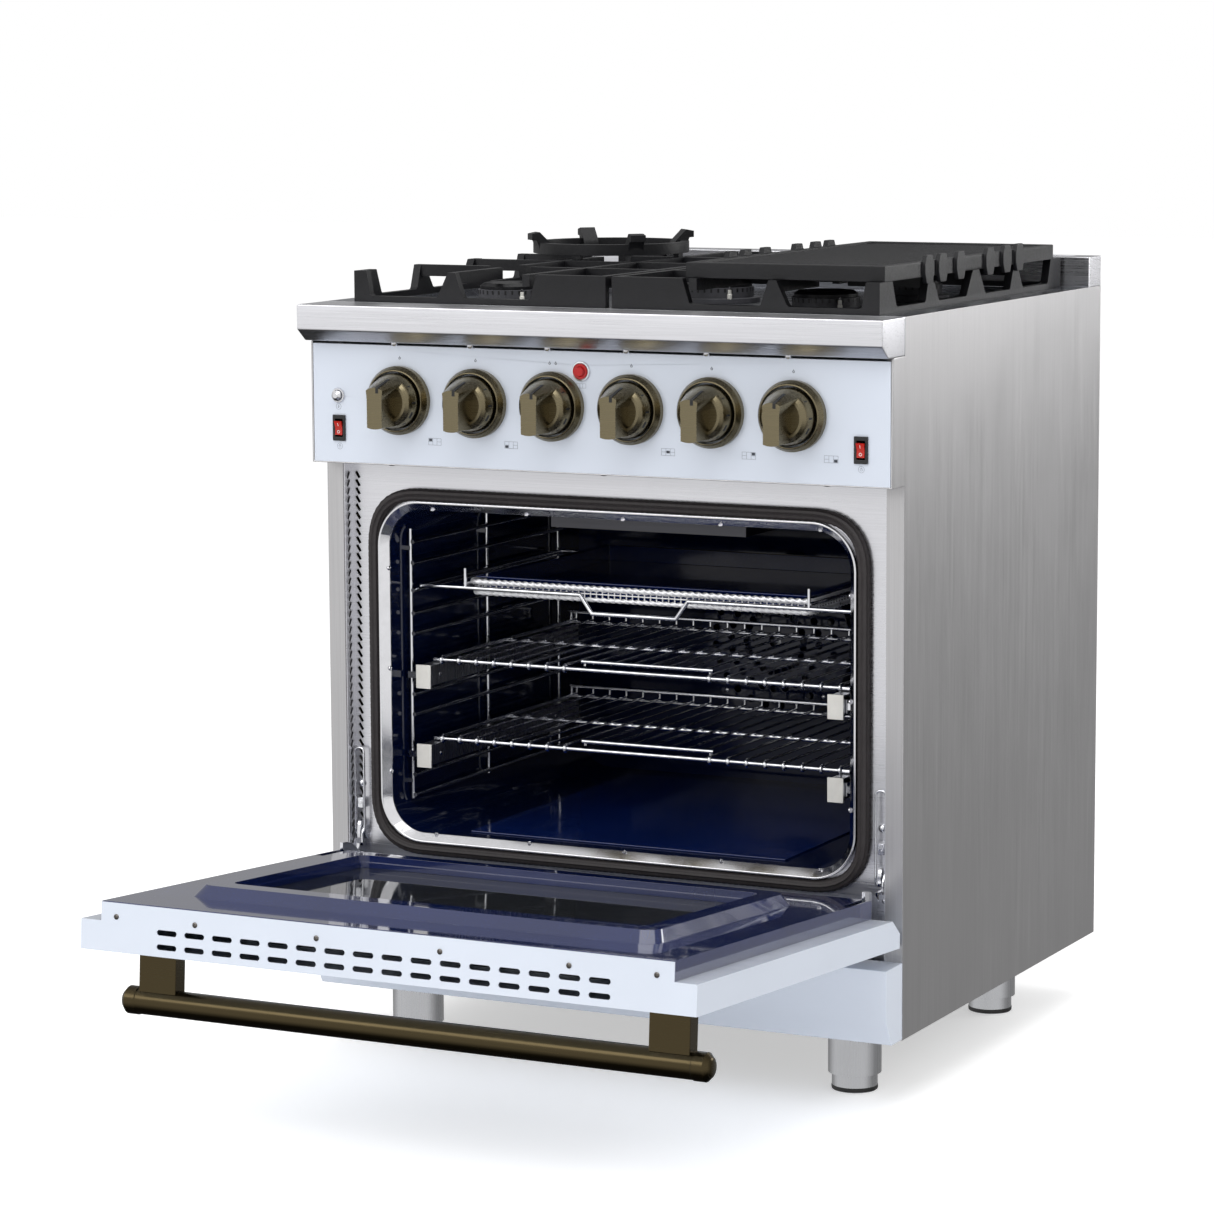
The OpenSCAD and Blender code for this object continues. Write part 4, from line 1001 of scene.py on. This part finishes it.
def burner_fittings():
    """Black blocks in the flame ports round the five burners, painted as the shade inside the hollow ports, and an
    igniter beside each.
    """
    cap_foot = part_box("burner_caps")[0].z
    ports, ceramic, tips = Shape(), Shape(), Shape()
    igniter = in_mm([(0, 0), (3, 0), (3, 6), (2.2, 7), (2.2, 12), (0, 12)])
    tip = in_mm([(0, 11.5), (1, 11.5), (1, 15), (0, 15.6)])
    pitch_x, front_y, back_y = 210 * MM, FRONT + 162 * MM, FRONT + 435 * MM
    middle_y = FRONT + 301 * MM
    burners = [(-pitch_x, front_y, 40), (-pitch_x, back_y, 34), (0, middle_y, 48)]
    burners += [(pitch_x, front_y, 40), (pitch_x, back_y, 34)]
    for x, y, size in burners:
        count = int(size * 0.75)
        for k in range(count):
            a = 2 * math.pi * k / count
            turn = Vector((math.cos(a), math.sin(a), 0))
            cross = Vector((-math.sin(a), math.cos(a), 0))
            spot = Vector((x, y, cap_foot - 5.5 * MM)) + turn * (size - 0.4) * MM
            outline = in_mm([(-1.1, 0), (1.1, 0), (1.1, 4.6), (-1.1, 4.6)])
            # painted shade: a thin black block stands in for the dark inside of each flame port
            ports.prism(outline, spot, cross, UP, 0.7 * MM)
        reach = (size + 5.5) * MM * 0.7
        spot = (x + reach, y - reach, cap_foot - 14 * MM)
        ceramic.revolve(igniter, spot, UP, 16)
        tips.revolve(tip, spot, UP, 12)
    ports.build("burner_port_shade", "black_print_and_port_shade")
    ceramic.build("igniter_bodies", "ceramic")
    tips.build("igniter_tips", "polished_trim")


burner_fittings()


# ---- feet, back ----


def feet_fittings():
    """A rubber pad under each foot."""
    pad = in_mm([(0, 0.2), (25, 0.2), (27.3, 1.2), (27.6, 3), (27.4, 5.6), (26.8, 6.2), (0, 6.2)])
    for name in ("front_left", "front_right", "back_left", "back_right"):
        low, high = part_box("foot_" + name)
        x, y = (low.x + high.x) / 2, (low.y + high.y) / 2
        shape = Shape()
        shape.revolve(pad, (x, y, 0), UP, 48)
        shape.build("foot_pad_" + name, "black_plastic", name + "_foot")


feet_fittings()


def back_fittings():
    """Screws, the gas inlet's nut and a blank label on the back panel."""
    low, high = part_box("back_panel")
    y = high.y
    screws = Shape()
    for x in (-0.355, -0.12, 0.12, 0.355):
        for z in (low.z + 0.012, high.z - 0.012):
            screws.screw((x, y, z), IN, 2.2 * MM, 9 * x)
    for side in (-1, 1):
        for z in (0.3, 0.52, 0.72):
            screws.screw((side * 0.368, y, z), IN, 2.2 * MM, 5 * z)
    screws.build("back_screws", "dark_screw")
    gas = Vector((330 * MM, y, 300 * MM))
    nut = Shape()
    profile = in_mm([(13.5, 0), (19, 0), (19, 0.9), (18, 1.3), (13.5, 1.3)])
    nut.revolve(profile, gas, IN, 6, True)
    nut.build("gas_inlet_nut", "valve_brass")
    label = Shape()
    label.block((60 * MM, y, 560 * MM), (190 * MM, y + 0.25 * MM, 640 * MM), 0.1 * MM)
    label.build("blank_label", "label")
    lines = Shape()
    for k in range(7):
        z = (570 + 9 * k) * MM
        lines.block((68 * MM, y + 0.2 * MM, z), ((120 + 9 * (k % 4)) * MM, y + 0.4 * MM, z + 1.4 * MM), 0.0)
    lines.block((150 * MM, y + 0.2 * MM, 600 * MM), (180 * MM, y + 0.4 * MM, 630 * MM), 0.0)
    lines.build("blank_label_lines", "print_grey")


back_fittings()


# ---- floor, light and camera ----


def make_floor():
    look = Look("pale_floor")
    tone = look.noise(look.place(), 2.0, 3)
    look.set(Base_Color=look.blend(tone, srgb(244, 244, 244), srgb(248, 248, 248)), Roughness=0.6)
    look.set(Emission_Color=(1, 1, 1, 1), Emission_Strength=0.48)
    bpy.ops.mesh.primitive_plane_add(size=40, location=(0, 0, 0))
    floor = bpy.context.object
    floor.name = "floor"
    floor.data.materials.append(look.material)
    floor.visible_glossy = False


def make_world():
    """White behind the range; in reflections darker below the horizon and toward the back."""
    world = bpy.data.worlds.new("studio")
    world.use_nodes = True
    tree = world.node_tree
    links = tree.links

    def math_node(operation, first, second):
        node = tree.nodes.new("ShaderNodeMath")
        node.operation = operation
        for socket, value in zip(node.inputs, (first, second)):
            if isinstance(value, float):
                socket.default_value = value
            else:
                links.new(value, socket)
        return node.outputs[0]

    def scaled(value, start, end, low, high):
        """A number that runs from low to high as value runs from start to end."""
        node = tree.nodes.new("ShaderNodeMapRange")
        limits = {"From Min": start, "From Max": end, "To Min": low, "To Max": high}
        for socket, limit in limits.items():
            node.inputs[socket].default_value = limit
        links.new(value, node.inputs["Value"])
        return node.outputs["Result"]

    mirrored = tree.nodes["Background"]
    shown = tree.nodes.new("ShaderNodeBackground")
    for background in (mirrored, shown):
        background.inputs["Color"].default_value = (1, 1, 1, 1)
    path = tree.nodes.new("ShaderNodeLightPath")
    toward = tree.nodes.new("ShaderNodeSeparateXYZ")
    links.new(tree.nodes.new("ShaderNodeTexCoord").outputs["Generated"], toward.inputs[0])
    by_height = scaled(toward.outputs["Z"], -0.7, -0.2, 0.05, 0.95)
    by_depth = scaled(toward.outputs["Y"], -0.3, 0.5, 1.0, 0.36)
    links.new(math_node("MULTIPLY", by_height, by_depth), mirrored.inputs["Strength"])
    links.new(scaled(path.outputs["Is Camera Ray"], 0.0, 1.0, 0.62, 1.0), shown.inputs["Strength"])
    mix = tree.nodes.new("ShaderNodeMixShader")
    links.new(math_node("SUBTRACT", 1.0, path.outputs["Is Glossy Ray"]), mix.inputs["Fac"])
    links.new(mirrored.outputs[0], mix.inputs[1])
    links.new(shown.outputs[0], mix.inputs[2])
    links.new(mix.outputs[0], tree.nodes["World Output"].inputs["Surface"])
    bpy.context.scene.world = world


def area_light(name, place, aim, size, power):
    data = bpy.data.lights.new(name, "AREA")
    data.shape = "RECTANGLE"
    data.size, data.size_y = size
    data.energy = power
    lamp = bpy.data.objects.new(name, data)
    lamp.location = place
    lamp.visible_camera = False
    lamp.rotation_euler = (Vector(aim) - Vector(place)).to_track_quat("-Z", "Y").to_euler()
    bpy.context.scene.collection.objects.link(lamp)


def make_camera():
    """A long lens to the right of the front, looking slightly down."""
    yaw, pitch, roll = -0.4616, -0.1366, -0.0048
    forward = Vector((math.sin(yaw) * math.cos(pitch), math.cos(yaw) * math.cos(pitch), math.sin(pitch)))
    data = bpy.data.cameras.new("camera")
    data.sensor_width = 36
    data.lens = 120.6
    data.shift_x = -0.0203
    data.shift_y = -0.0038
    data.clip_end = 100
    camera = bpy.data.objects.new("camera", data)
    camera.location = (2.1387, -4.2791, 1.2192)
    camera.rotation_euler = (forward.to_track_quat("-Z", "Y") @ Quaternion((0, 0, 1), roll)).to_euler()
    bpy.context.scene.collection.objects.link(camera)
    bpy.context.scene.camera = camera


make_floor()
make_world()
area_light("key", (-1.6, -3.2, 2.4), (0, 0, 0.6), (2.2, 1.6), 28)
area_light("high front", (0.8, -3.4, 4.6), (0, -0.4, 0.3), (3.4, 2.0), 62)
area_light("side", (1.9, 2.2, 1.3), (0.4, 0, 0.8), (1.2, 1.0), 17)
area_light("top", (0.2, 0.3, 3.4), (0, 0, 0.9), (2.4, 2.4), 30)
make_camera()
bpy.context.scene.view_settings.view_transform = "Standard"
